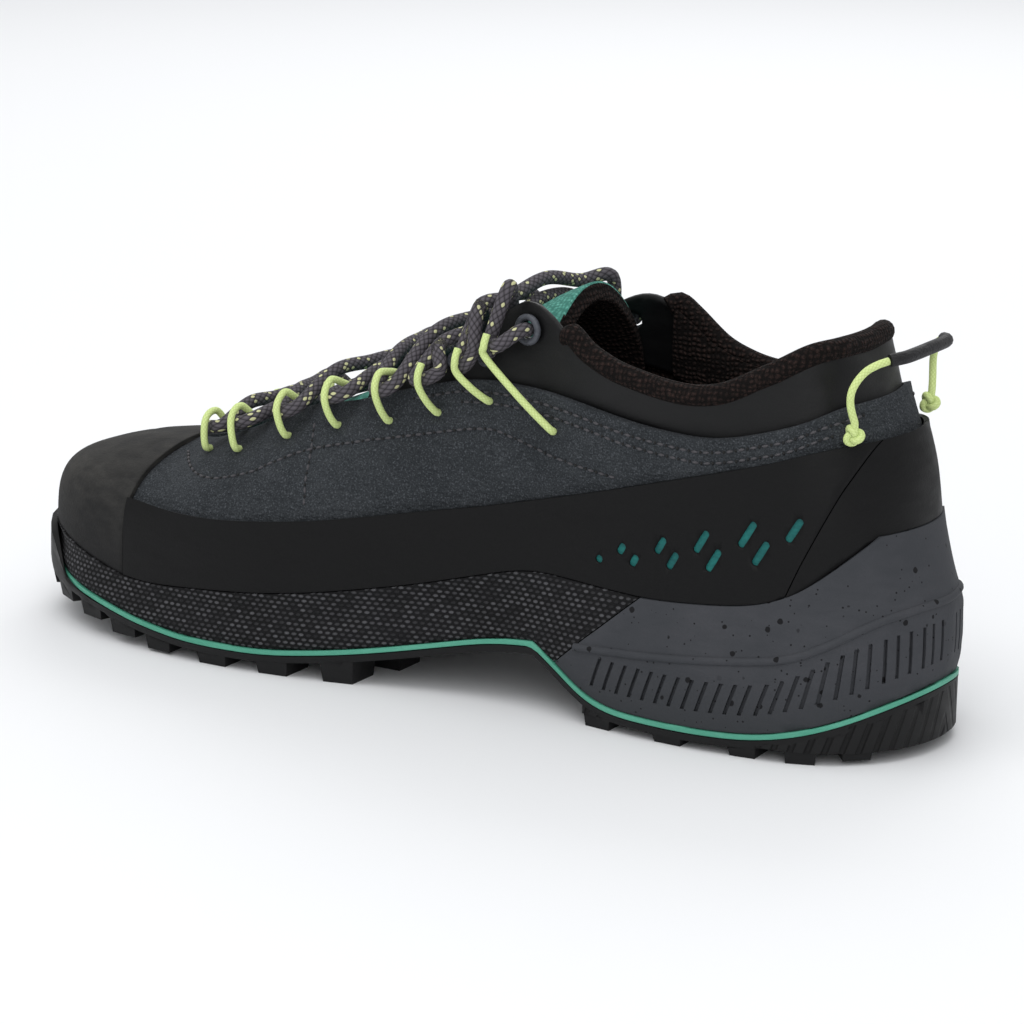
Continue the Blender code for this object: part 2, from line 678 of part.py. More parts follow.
def rib_cutter():
    """Slanted grooves round the lower band of the heel."""
    bm = bmesh.new()
    for side in (1.0, -1.0):
        place = 0.35 if side > 0 else RING_SIZE - 0.35
        while 0.0 < place < RING_SIZE and section_at(place).along < 0.315:
            along = section_at(place).along
            band = line_value(BAND_LINE, along, 0.0) * CUP_HEIGHT
            low = strip_top(along)
            ahead = outline_at(place + 0.05 * side, 1.0, 0.0)
            behind = outline_at(place - 0.05 * side, 1.0, 0.0)
            run = (ahead - behind).normalized()
            out = Vector((-run.y, run.x, 0.0)) * side
            lean = Vector((0.0, 0.0, 1.0)) - run * RIB_LEAN * smooth(0.02, 0.12, along)
            lean.normalize()
            middle = outline_at(place, 1.0, low + (band - low) * 0.52)
            middle -= out * (RIB_DEPTH * 0.3)
            tall = (band - low) * 0.52
            add_block(bm, middle, run, lean, out, RIB_WIDTH, tall, RIB_DEPTH * 2.6)
            stride = (ahead - behind).length / 0.10
            place += side * RIB_PITCH / stride
    return cutter_object("rib_cutter", bm)


def add_block(bm, middle, wide, tall, deep, width, height, depth):
    """Block with its own three directions."""
    corners = []
    for i in (-0.5, 0.5):
        for j in (-0.5, 0.5):
            for k in (-0.5, 0.5):
                corners.append(middle + wide * width * i + tall * height * j + deep * depth * k)
    verts = [bm.verts.new(corner) for corner in corners]
    for face in ((0, 1, 3, 2), (4, 6, 7, 5), (0, 4, 5, 1), (2, 3, 7, 6), (0, 2, 6, 4), (1, 5, 7, 3)):
        bm.faces.new([verts[index] for index in face])


def cutter_object(name, bm):
    bmesh.ops.recalc_face_normals(bm, faces=bm.faces)
    mesh = bpy.data.meshes.new(name)
    bm.to_mesh(mesh)
    bm.free()
    item = bpy.data.objects.new(name, mesh)
    bpy.context.scene.collection.objects.link(item)
    item.hide_render = True
    item.display_type = "WIRE"
    return item


def add_boolean(item, cutter, operation):
    modifier = item.modifiers.new(operation.lower(), "BOOLEAN")
    modifier.operation = operation
    modifier.solver = "EXACT"
    modifier.object = cutter


def make_midsole(fore_finish, heel_finish):
    point, forward = midsole_seam()
    columns = [midsole_profile(place) for place in PLACES]
    fore = weld(loft(columns, True, False))
    cut_flat(fore, point + forward * GAP * 0.5, -forward)
    add_object("midsole_fore", finish_mesh("midsole_fore", fore), fore_finish)
    heel = weld(loft(columns, True, False))
    cut_flat(heel, point - forward * GAP * 0.5, forward)
    made = add_object("midsole_heel", finish_mesh("midsole_heel", heel), heel_finish)
    add_boolean(made, rib_cutter(), "DIFFERENCE")


def weld(bm):
    bmesh.ops.remove_doubles(bm, verts=bm.verts, dist=1e-6)
    bmesh.ops.recalc_face_normals(bm, faces=bm.faces)
    return bm


def strip_profile(place):
    along = section_at(place).along
    top = strip_top(along) - GAP
    bottom = top - STRIP_THICKNESS
    inset = toe_inset(along)
    return [
        spine_at(place, lambda share: strip_top(share) - GAP),
        outline_at(place, 1.0 - inset, top),
        outline_at(place, 1.0 - inset, bottom),
        spine_at(place, lambda share: strip_top(share) - GAP - STRIP_THICKNESS),
    ]


def base_top(along):
    return strip_top(along) - 2.0 * GAP - STRIP_THICKNESS


def outsole_profile(place):
    along = section_at(place).along
    top = base_top(along)
    bottom = top - BASE_THICKNESS
    lip = line_value(LIP_LINE, along, 0.0) * HEEL_STACK
    inset = toe_inset(along)
    inner = 1.008 - inset if lip > 1e-6 else 1.0
    outer = 1.0 + 0.004 * min(lip / 0.01, 1.0)
    return [
        spine_at(place, base_top),
        outline_at(place, inner, top),
        outline_at(place, inner, top + lip),
        outline_at(place, outer - 0.010 * (lip > 1e-6), top + lip),
        outline_at(place, outer, top),
        outline_at(place, 0.985, bottom),
        spine_at(place, lambda share: base_top(share) - BASE_THICKNESS),
    ]


def ground(along):
    return line_value(GROUND_LINE, along, 0.0) * HEEL_STACK


def base_point(place, share):
    """Point on the base's top at a share of the reach from the spine to its edge."""
    edge = outline_at(place, 1.0, base_top(section_at(place).along))
    return spine_at(place, base_top).lerp(edge, share)


def lug_body(bm, tops):
    """Tapered tread block from inside the base down to the ground line."""
    centre = sum(tops, Vector()) / 4.0
    low = ground(centre.x / LENGTH)
    sink = Vector((0.0, 0.0, BASE_THICKNESS * 0.45))
    verts = []
    for top in tops:
        foot = centre.lerp(top, LUG_TAPER)
        verts.append(bm.verts.new((foot.x, foot.y, low)))
    verts += [bm.verts.new(top - sink) for top in tops]
    for face in ((3, 2, 1, 0), (4, 5, 6, 7), (0, 1, 5, 4), (1, 2, 6, 5), (2, 3, 7, 6), (3, 0, 4, 7)):
        bm.faces.new([verts[index] for index in face])


# Edge lugs: first and last place on the ring's medial side, count and size
LugRow = namedtuple("LugRow", "first last count length depth")
EDGE_LUGS = (
    LugRow(1.2, 7.7, 6, 0.0088, 0.0120),
    LugRow(12.4, 20.4, 8, 0.0098, 0.0125),
)
# Middle lugs: share of LENGTH, shift over BALL_WIDTH, length and width
MIDDLE_LUGS = tuple(
    (along, shift, 0.0095, 0.0120) for along in (0.57, 0.63, 0.69, 0.75, 0.81) for shift in (-0.115, 0.165)
) + tuple((along, 0.0, 0.0090, 0.0170) for along in (0.155, 0.205, 0.255))


def lugs():
    bm = bmesh.new()
    for row in EDGE_LUGS:
        for step in range(row.count):
            middle = row.first + (row.last - row.first) * step / (row.count - 1)
            for place in (middle, RING_SIZE - middle):
                stride = (outline_at(place + 0.05, 1.0, 0.0) - outline_at(place - 0.05, 1.0, 0.0)).length
                half = 0.05 * row.length / stride
                reach = (outline_at(place, 1.0, 0.0) - outline_at(place, 0.0, 0.0)).length
                inner = 0.985 - row.depth / reach
                lug_body(bm, [
                    base_point(place - half, 0.985),
                    base_point(place + half, 0.985),
                    base_point(place + half, inner),
                    base_point(place - half, inner),
                ])
    for along, shift, length, width in MIDDLE_LUGS:
        tops = []
        for i, j in ((-0.5, -0.5), (0.5, -0.5), (0.5, 0.5), (-0.5, 0.5)):
            x = along * LENGTH + length * i
            tops.append(Vector((x, shift * BALL_WIDTH + width * j, base_top(x / LENGTH))))
        lug_body(bm, tops)
    return cutter_object("lugs", bm)


def make_sole(strip_finish, outsole_finish):
    strip = loft([strip_profile(place) for place in PLACES], True, False)
    add_object("sole_strip", finish_mesh("sole_strip", strip), strip_finish)
    base = loft([outsole_profile(place) for place in PLACES], True, False)
    made = add_object("outsole", finish_mesh("outsole", base), outsole_finish)
    add_boolean(made, lugs(), "UNION")


def make_insole(finish):
    columns = []
    for place in PLACES:
        along = section_at(place).along
        edge = offset_point(place, 0.0, -UPPER_WALL - 4.0 * GAP)
        low = edge.copy()
        low.z = deck_height(along)
        high = edge.copy()
        high.z = low.z + INSOLE_THICKNESS
        columns.append([
            spine_at(place, lambda share: deck_height(share) + INSOLE_THICKNESS),
            high,
            low,
            spine_at(place, deck_height),
        ])
    bm = loft(columns, True, False)
    add_object("insole", finish_mesh("insole", bm), finish)


def place_at(along, side):
    """Ring place of a share of the length on the straight stretch of one side."""
    low = float(HEEL_LAST)
    high = float(TOE_FIRST)
    for _ in range(40):
        middle = 0.5 * (low + high)
        if section_at(middle if side > 0 else RING_SIZE - middle).along < along:
            low = middle
        else:
            high = middle
    return low if side > 0 else RING_SIZE - low


def make_tongue(finish):
    depth = UPPER_WALL + CUFF_WALL + 4.0 * GAP
    columns = []
    for row in TONGUE_ROWS:
        ridge = spine_point(row.along)
        ridge.z = row.ridge * INSTEP_HEIGHT
        top = []
        for side in (1.0, -1.0):
            place = place_at(row.along, side)
            foot = offset_point(place, row.foot, -depth)
            margin = offset_point(place, row.margin, -depth)
            waist = margin.lerp(ridge, 0.5)
            waist.z = margin.z + (ridge.z - margin.z) * 0.78
            points = [foot, margin, waist]
            top += points + [ridge] if side > 0 else list(reversed(points))
        thick = TONGUE_THICKNESS * (0.62 + 0.5 * smooth(0.60, 0.42, row.along))
        under = []
        for point in reversed(top):
            inward = (ridge.y - point.y) * 0.07
            under.append(Vector((point.x - thick * 0.35, point.y + inward, point.z - thick)))
        columns.append(top + under)
    bm = loft(columns, False, True)
    return add_object("tongue", finish_mesh("tongue", bm), finish)


def make_lining(finish):
    """Padded lining inside the cuff that rolls over its top edge."""
    outer = -(UPPER_WALL + CUFF_WALL + 2.0 * GAP)
    columns = []
    for place in places_behind(0.36):
        rows = cuff_heights(place)
        lift = Vector((0.0, 0.0, 1.0))
        edge = offset_point(place, 1.0, outer)
        inner_edge = offset_point(place, 1.0, outer - LINING_THICKNESS)
        back = (edge - inner_edge) * 0.45
        columns.append([
            *(offset_point(place, height, outer) for height in rows[1:-1]),
            edge + lift * GAP * 2.0,
            edge + back * 0.5 + lift * LINING_RISE * 0.65,
            edge.lerp(inner_edge, 0.25) + lift * LINING_RISE,
            edge.lerp(inner_edge, 0.80) + lift * LINING_RISE * 0.85,
            inner_edge - lift * LINING_RISE * 0.4,
            offset_point(place, rows[3], outer - LINING_THICKNESS),
            offset_point(place, rows[1], outer - LINING_THICKNESS * 0.5),
        ])
    bm = loft(columns, False, True, backward=True)
    return add_object("collar_lining", finish_mesh("collar_lining", bm), finish)


def smooth_route(points, steps):
    """Points of a smooth curve through a route, the ends included."""
    padded = [points[0] * 2.0 - points[1], *points, points[-1] * 2.0 - points[-2]]
    found = []
    for index in range(1, len(padded) - 2):
        for step in range(steps):
            found.append(catmull(*padded[index - 1:index + 3], step / steps))
    found.append(padded[-2])
    return found


def make_cord(name, points, diameter, finish, resolution=1):
    data = bpy.data.curves.new(name, "CURVE")
    data.dimensions = "3D"
    data.bevel_depth = 0.5 * diameter
    data.bevel_resolution = resolution
    data.use_fill_caps = True
    spline = data.splines.new("POLY")
    spline.points.add(len(points) - 1)
    for point, place in zip(spline.points, points):
        point.co = (*place, 1.0)
    data.materials.append(finish)
    item = bpy.data.objects.new(name, data)
    bpy.context.scene.collection.objects.link(item)
    return item


def lace_point(index, side, turn):
    """Middle of the lace at a loop, or some turns before or behind it along the shoe."""
    row = LOOPS[index]
    place = place_at(row.top_along + turn * row.turn, side)
    return offset_point(place, row.top_height, LACE_LIFT)


def make_loop(index, side, finish):
    """Cord from its hole in the panel up and over the lace, down to the panel behind it."""
    row = LOOPS[index]
    place = place_at(row.top_along, side)
    normal = last_normal(place, row.top_height)
    below = last_point(place, row.top_height - 0.03)
    down = (below - last_point(place, row.top_height)).normalized()
    lace = lace_point(index, side, 0.0)
    lift = 0.5 * LOOP_CORD_DIAMETER + GAP
    wrap = (0.5 * LACE_DIAMETER + 0.5 * LOOP_CORD_DIAMETER + GAP) * LOOP_SLACK
    hole_place = place_at(row.hole_along, side)
    half_height = 0.5 * (row.hole_height + row.top_height)
    points = [
        offset_point(hole_place, row.hole_height, lift),
        offset_point(0.5 * (place + hole_place), half_height, lift + 2.0 * GAP),
        lace + down * wrap - normal * wrap * 0.25,
        lace + (down + normal) * wrap * 0.76,
        lace + normal * wrap,
        lace + (normal - down) * wrap * 0.76,
        lace - down * wrap - normal * wrap * 0.25,
        lace - down * wrap * 1.05 - normal * (LACE_LIFT - lift - GAP),
    ]
    if row.top_height < LOW_TOP:
        points = points[:-2]
    name = f"lace_loop_{'medial' if side > 0 else 'lateral'}_{index + 1}"
    return make_cord(name, points, LOOP_CORD_DIAMETER, finish, 0)


def ridge_height(along):
    rows = list(reversed(TONGUE_ROWS))
    xs = [row.along for row in rows]
    return curve_through(xs, [row.ridge for row in rows], along) * INSTEP_HEIGHT


def eyelet_frame(side):
    """Middle of the eyelet on the cuff's outer face, and the way it faces."""
    place = place_at(EYELET_ALONG, side)
    return offset_point(place, EYELET_HEIGHT, -UPPER_WALL - GAP), last_normal(place, EYELET_HEIGHT)


def edge_point(index, side, over):
    """Where the lace passes over the panel's edge beside a loop that lies well below it."""
    row = LOOPS[index]
    edge = last_point(place_at(row.top_along, side), 1.0)
    edge.z += 0.5 * LACE_DIAMETER + 4.0 * GAP + over * 0.75 * LACE_DIAMETER
    return edge


def crossing(index, side):
    """Lace from one loop over the tongue to the next loop on the other side."""
    start = lace_point(index, side, -1.0)
    end = lace_point(index + 1, -side, 1.0)
    over = 1.0 if side * (-1 if index % 2 else 1) > 0 else 0.0
    middle = start.lerp(end, 0.5)
    middle.z = ridge_height(middle.x / LENGTH) + 0.5 * LACE_DIAMETER + LACE_SPARE
    middle.z += over * (LACE_DIAMETER + LACE_SPARE)
    quarters = []
    for share in (0.25, 0.75):
        quarter = start.lerp(end, share)
        quarter.z += (middle.z - quarter.z) * 0.80 + LACE_SPARE
        quarters.append(quarter)
    points = [quarters[0], middle, quarters[1]]
    if LOOPS[index].top_height < LOW_TOP:
        points.insert(0, edge_point(index, side, over))
    if LOOPS[index + 1].top_height < LOW_TOP:
        points.append(edge_point(index + 1, -side, over))
    return [start, *points, end]


def make_lace(name, first_side, finish):
    """One strand that zigzags up the instep and ends at its top eyelet."""
    side = first_side
    points = [lace_point(0, side, 1.0)]
    for index in range(len(LOOPS) - 1):
        points += crossing(index, side)
        side = -side
    centre, normal = eyelet_frame(side)
    points.append(lace_point(len(LOOPS) - 1, side, 0.0))
    points.append(centre + normal * 0.0085 + Vector((0.0030, 0.0, -0.0035)))
    points.append(centre + normal * 0.0042)
    points.append(centre + normal * 2.0 * GAP)
    return make_cord(name, points, LACE_DIAMETER, finish)


def make_eyelet(name, side, finish):
    centre, normal = eyelet_frame(side)
    across = normal.cross(Vector((0.0, 0.0, 1.0))).normalized()
    up = across.cross(normal)
    radius = 0.5 * (EYELET_HOLE + EYELET_RING)
    middle = centre + normal * (0.5 * EYELET_RING + GAP)
    points = []
    for index in range(EYELET_SIDES):
        angle = math.tau * index / EYELET_SIDES
        points.append(middle + (across * math.cos(angle) + up * math.sin(angle)) * radius)
    ring = make_cord(name, points, EYELET_RING, finish)
    ring.data.splines[0].use_cyclic_u = True


def eyelet_cutter():
    bm = bmesh.new()
    for side in (1.0, -1.0):
        centre, normal = eyelet_frame(side)
        turn = normal.to_track_quat("Z", "Y").to_matrix().to_4x4()
        bmesh.ops.create_cone(
            bm,
            cap_ends=True,
            segments=EYELET_SIDES,
            radius1=0.5 * EYELET_HOLE,
            radius2=0.5 * EYELET_HOLE,
            depth=4.0 * CUFF_WALL,
            matrix=Matrix.Translation(centre) @ turn,
        )
    return cutter_object("eyelet_cutter", bm)


def knot_centre(side):
    place = KNOT_PLACE if side > 0 else RING_SIZE - KNOT_PLACE
    return offset_point(place, suede_height(place) - KNOT_DROP, 0.5 * KNOT_DIAMETER + GAP)


def make_knot(name, side, finish):
    bm = bmesh.new()
    bmesh.ops.create_uvsphere(
        bm,
        u_segments=10,
        v_segments=6,
        radius=0.5 * KNOT_DIAMETER,
        matrix=Matrix.Translation(knot_centre(side)),
    )
    mesh = bpy.data.meshes.new(name)
    bm.to_mesh(mesh)
    bm.free()
    return add_object(name, mesh, finish)


def make_pull_loop(cord_finish, sleeve_finish):
    """Cord from the medial knot behind the heel to the lateral knot, with a sleeve on it."""
    medial = [knot_centre(1.0) + Vector(step) for step in PULL_ROUTE]
    lateral = [Vector((point.x, -point.y, point.z)) for point in reversed(medial)]
    middle = medial[-1].lerp(lateral[0], 0.5) + Vector((-0.0008, 0.0, 0.0003))
    route = smooth_route([*medial, middle, *lateral], 2)
    make_cord("pull_cord_medial", route[:SLEEVE_FIRST + 1], PULL_CORD_DIAMETER, cord_finish)
    sleeve = route[SLEEVE_FIRST:len(route) - SLEEVE_FIRST]
    sleeve[0] = sleeve[0].lerp(sleeve[1], 0.12)
    sleeve[-1] = sleeve[-1].lerp(sleeve[-2], 0.12)
    make_cord("pull_sleeve", sleeve, SLEEVE_DIAMETER, sleeve_finish)
    make_cord(
        "pull_cord_lateral", route[-SLEEVE_FIRST - 1:], PULL_CORD_DIAMETER, cord_finish
    )
    make_knot("pull_knot_medial", 1.0, cord_finish)
    make_knot("pull_knot_lateral", -1.0, cord_finish)


def centre_on_origin():
    """Moves all so that the box of the shoe stands centred on the origin."""
    bpy.context.view_layer.update()
    graph = bpy.context.evaluated_depsgraph_get()
    shown = [item for item in bpy.data.objects if not item.hide_render]
    spots = []
    for item in shown:
        evaluated = item.evaluated_get(graph)
        spots += [vert.co.copy() for vert in evaluated.to_mesh().vertices]
        evaluated.to_mesh_clear()
    low = Vector([min(spot[axis] for spot in spots) for axis in range(3)])
    high = Vector([max(spot[axis] for spot in spots) for axis in range(3)])
    for item in bpy.data.objects:
        item.location = Vector((-0.5 * (low.x + high.x), -0.5 * (low.y + high.y), -low.z))


def main():
    clear_scene()
    suede = material("suede", (0.055, 0.058, 0.066), 0.9)
    cuff = material("cuff_textile", (0.016, 0.017, 0.018), 0.5)
    rand = material("rand_rubber", (0.014, 0.014, 0.014), 0.6)
    toe = material("toe_rubber", (0.030, 0.029, 0.027), 0.65)
    weave = material("woven_foam", (0.030, 0.030, 0.032), 0.7)
    heel = material("heel_foam", (0.055, 0.056, 0.061), 0.75)
    strip = material("accent_foam", (0.13, 0.36, 0.28), 0.6)
    rubber = material("outsole_rubber", (0.018, 0.018, 0.018), 0.7)
    mesh_lining = material("mesh_lining", (0.022, 0.016, 0.014), 0.9)
    aqua = material("tongue_knit", (0.20, 0.50, 0.43), 0.85)
    cord = material("accent_cord", (0.58, 0.74, 0.27), 0.6)
    lace = material("lace_braid", (0.09, 0.085, 0.09), 0.8)
    metal = material("eyelet_metal", (0.10, 0.10, 0.11), 0.4, 0.6)

    make_upper(suede)
    make_midsole(weave, heel)
    make_sole(strip, rubber)
    make_insole(mesh_lining)
    make_tongue(aqua)
    make_cuff(cuff)
    make_lining(mesh_lining)
    make_toe_cap(toe)
    make_rand_pieces(rand)
    make_lace("lace_strand_a", 1.0, lace)
    make_lace("lace_strand_b", -1.0, lace)
    for index in range(len(LOOPS)):
        make_loop(index, 1.0, cord)
        make_loop(index, -1.0, cord)
    make_eyelet("eyelet_medial", 1.0, metal)
    make_eyelet("eyelet_lateral", -1.0, metal)
    make_pull_loop(cord, cuff)
    centre_on_origin()


main()
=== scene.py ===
"""Approach shoe, right foot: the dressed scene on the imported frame."""

import math

import bmesh
import bpy
import numpy as np
from mathutils import Matrix, Vector
from mathutils.bvhtree import BVHTree


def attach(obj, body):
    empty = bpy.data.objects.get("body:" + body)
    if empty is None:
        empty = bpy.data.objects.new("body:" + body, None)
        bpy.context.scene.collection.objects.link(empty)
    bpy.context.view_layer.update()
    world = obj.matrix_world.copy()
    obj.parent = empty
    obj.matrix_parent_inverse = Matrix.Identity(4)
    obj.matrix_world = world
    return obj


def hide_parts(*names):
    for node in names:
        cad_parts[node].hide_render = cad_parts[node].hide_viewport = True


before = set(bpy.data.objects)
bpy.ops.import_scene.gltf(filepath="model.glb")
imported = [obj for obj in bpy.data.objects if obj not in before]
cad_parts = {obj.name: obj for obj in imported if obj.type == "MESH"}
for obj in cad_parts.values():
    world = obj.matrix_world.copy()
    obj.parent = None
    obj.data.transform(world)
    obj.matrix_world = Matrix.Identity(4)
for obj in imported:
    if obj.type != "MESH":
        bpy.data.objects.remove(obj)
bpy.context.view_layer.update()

# Lengths and points below are in millimetres and angles in degrees, unless a comment says otherwise.
MM = 0.001
# The shoe's mid-line, and the signs of its medial and lateral sides.
MIDDLE = 1.3
SIDES = (1.0, -1.0)
LACE_RADIUS = 1.9
CORD_RADIUS = 1.0
CORD_STEP = 0.5
SLEEVE_RADIUS = 1.7
KNOT_RADIUS = 2.1
COLLAR_RADIUS = 2.9
COLLAR_INSET = 1.7
COLLAR_RISE = 0.9
# Where the collar's padded edge ends, and how far the lining may stand above its line.
COLLAR_FRONT = -43.0
LINING_RISE = 0.8
HEEL_LIP_RADIUS = 1.15
HEEL_LIP_SINK = 0.25
HEEL_WALL_SHARE = 0.985
HEEL_WALL_FOOT = 3.4
HEEL_WALL_THICKNESS = 2.5
STITCH_PITCH = 3.2
STITCH_LENGTH = 2.0
STITCH_RADIUS = 0.4
STITCH_LIFT = 0.08
HOLE_LENGTH = 0.9
HOLE_RADIUS = 0.5
HOLE_START = 2.15
# How far the two rows of stitches stand from the suede's upper edge.
FIRST_ROW, SECOND_ROW = -3.2, -6.0
SLOT_LEAN = 60.0
EYELET_RADIUS, EYELET_WIRE = 3.3, 0.9
SMALL_RING_RADIUS, SMALL_RING_WIRE = 1.9, 0.55
# The core line of the foot inside the shoe, in metres: its ends along the shoe and its height.
FOOT_REAR, FOOT_FRONT, FOOT_HEIGHT = -0.095, 0.090, 0.035
# Where the sole's outline starts to bend round the toe and the heel, and its radii there, in metres.
TOE_BEND, TOE_BEND_RADIUS = 0.098, 0.042
HEEL_BEND, HEEL_BEND_RADIUS = -0.100, 0.036
# The camera of the photo, aimed at a point in metres; the focal length is in pixels of its width.
CAMERA_TURN, CAMERA_TILT, CAMERA_ROLL = 30.5903, 14.5211, 0.8279
CAMERA_TARGET = (-0.009348, 0.0013, 0.043896)
FOCAL_PIXELS, PICTURE_PIXELS, SENSOR_WIDTH = 3669.81, 1024.0, 36.0

# Points that the laces and cords follow.
LACE_A = (
    (79, 18.6, 59.4), (72.5, 21, 61.5), (70.9, 10.6, 65.9), (69.2, 0.2, 65.8), (67.6, -10.2, 66),
    (65.9, -20.6, 62.5), (59.1, -22.3, 65.1), (56.5, -9.6, 72.1), (54, 3.1, 72.4), (51.5, 15.7, 72.6),
    (48.9, 28.4, 69.7), (42, 29, 72.4), (39.6, 15, 79.6), (37.2, 1, 80.1), (34.7, -13.1, 79.8),
    (32.3, -27.1, 74.5), (25.3, -27.7, 76.9), (22.8, -12.7, 87.3), (20.3, 2.2, 88.6), (17.8, 17.2, 87.7),
    (15.3, 32.2, 80.9), (8.6, 32.6, 83.5), (7, 17.1, 94), (5.5, 1.7, 95.9), (4, -13.8, 94),
    (-2.3, -22.5, 93.4), (2.4, -29.3, 83.3), (-4.8, -29.5, 86), (-2.3, -22.5, 93.4), (-6.5, -13.6, 101.2),
    (-8.2, 2.3, 103.9), (-9.9, 18.1, 101.7), (-14.7, 28.4, 105.9), (-11.6, 34, 90.8), (-16.2, 34.4, 94.6),
    (-14.7, 28.4, 105.9), (-17.3, 17.6, 107), (-18.4, 0.8, 109.6), (-19.5, -16, 106.5),
    (-24.3, -25.4, 106.4), (-20.6, -32.7, 89.9), (-23, -33.1, 91.1), (-25.4, -34.5, 93.6),
    (-29.6, -30.5, 96.1), (-30.6, -27.1, 95.4),
)
LACE_B = (
    (79, -11.8, 58.9), (72.6, -15.1, 61), (70.9, -5, 61.7), (69.2, 5.1, 60.6), (67.6, 15.2, 61.9),
    (65.9, 25.3, 63.1), (59.1, 26.5, 65.9), (56.5, 13.8, 68), (54, 1, 67.2), (51.5, -11.8, 68.3),
    (49, -24.6, 68.6), (42.2, -25.6, 71.2), (39.7, -11.7, 75.3), (37.2, 2.3, 74.9), (34.8, 16.2, 75.7),
    (32.3, 30.2, 75.9), (25.3, 31, 78.4), (22.8, 16.1, 83.3), (20.4, 1.2, 83.3), (17.9, -13.7, 83.4),
    (15.5, -28.6, 79.4), (8.7, -28.8, 81.8), (7.1, -13.3, 89.7), (5.5, 2.2, 90.7), (3.8, 17.7, 90.1),
    (-2.3, 27.6, 94.3), (2.2, 33.1, 85.4), (-5.5, 33.5, 88.5), (-2.3, 27.6, 94.3), (-6.9, 17.5, 97.3),
    (-8.3, 1.4, 98.8), (-9.6, -14.6, 97.2), (-14.7, -23.6, 97.2), (-11, -30.6, 87.9), (-15.7, -31, 90.3),
    (-14.7, -23.6, 97.2), (-17, -14.5, 102.5), (-18.3, 2.1, 104.4), (-19.7, 18.6, 103),
    (-24.3, 29.8, 112.5), (-21, 35.1, 95.9), (-23.5, 35.5, 98), (-26.1, 37.6, 98.6), (-29.8, 33.3, 102),
    (-30.4, 29.8, 101.9),
)
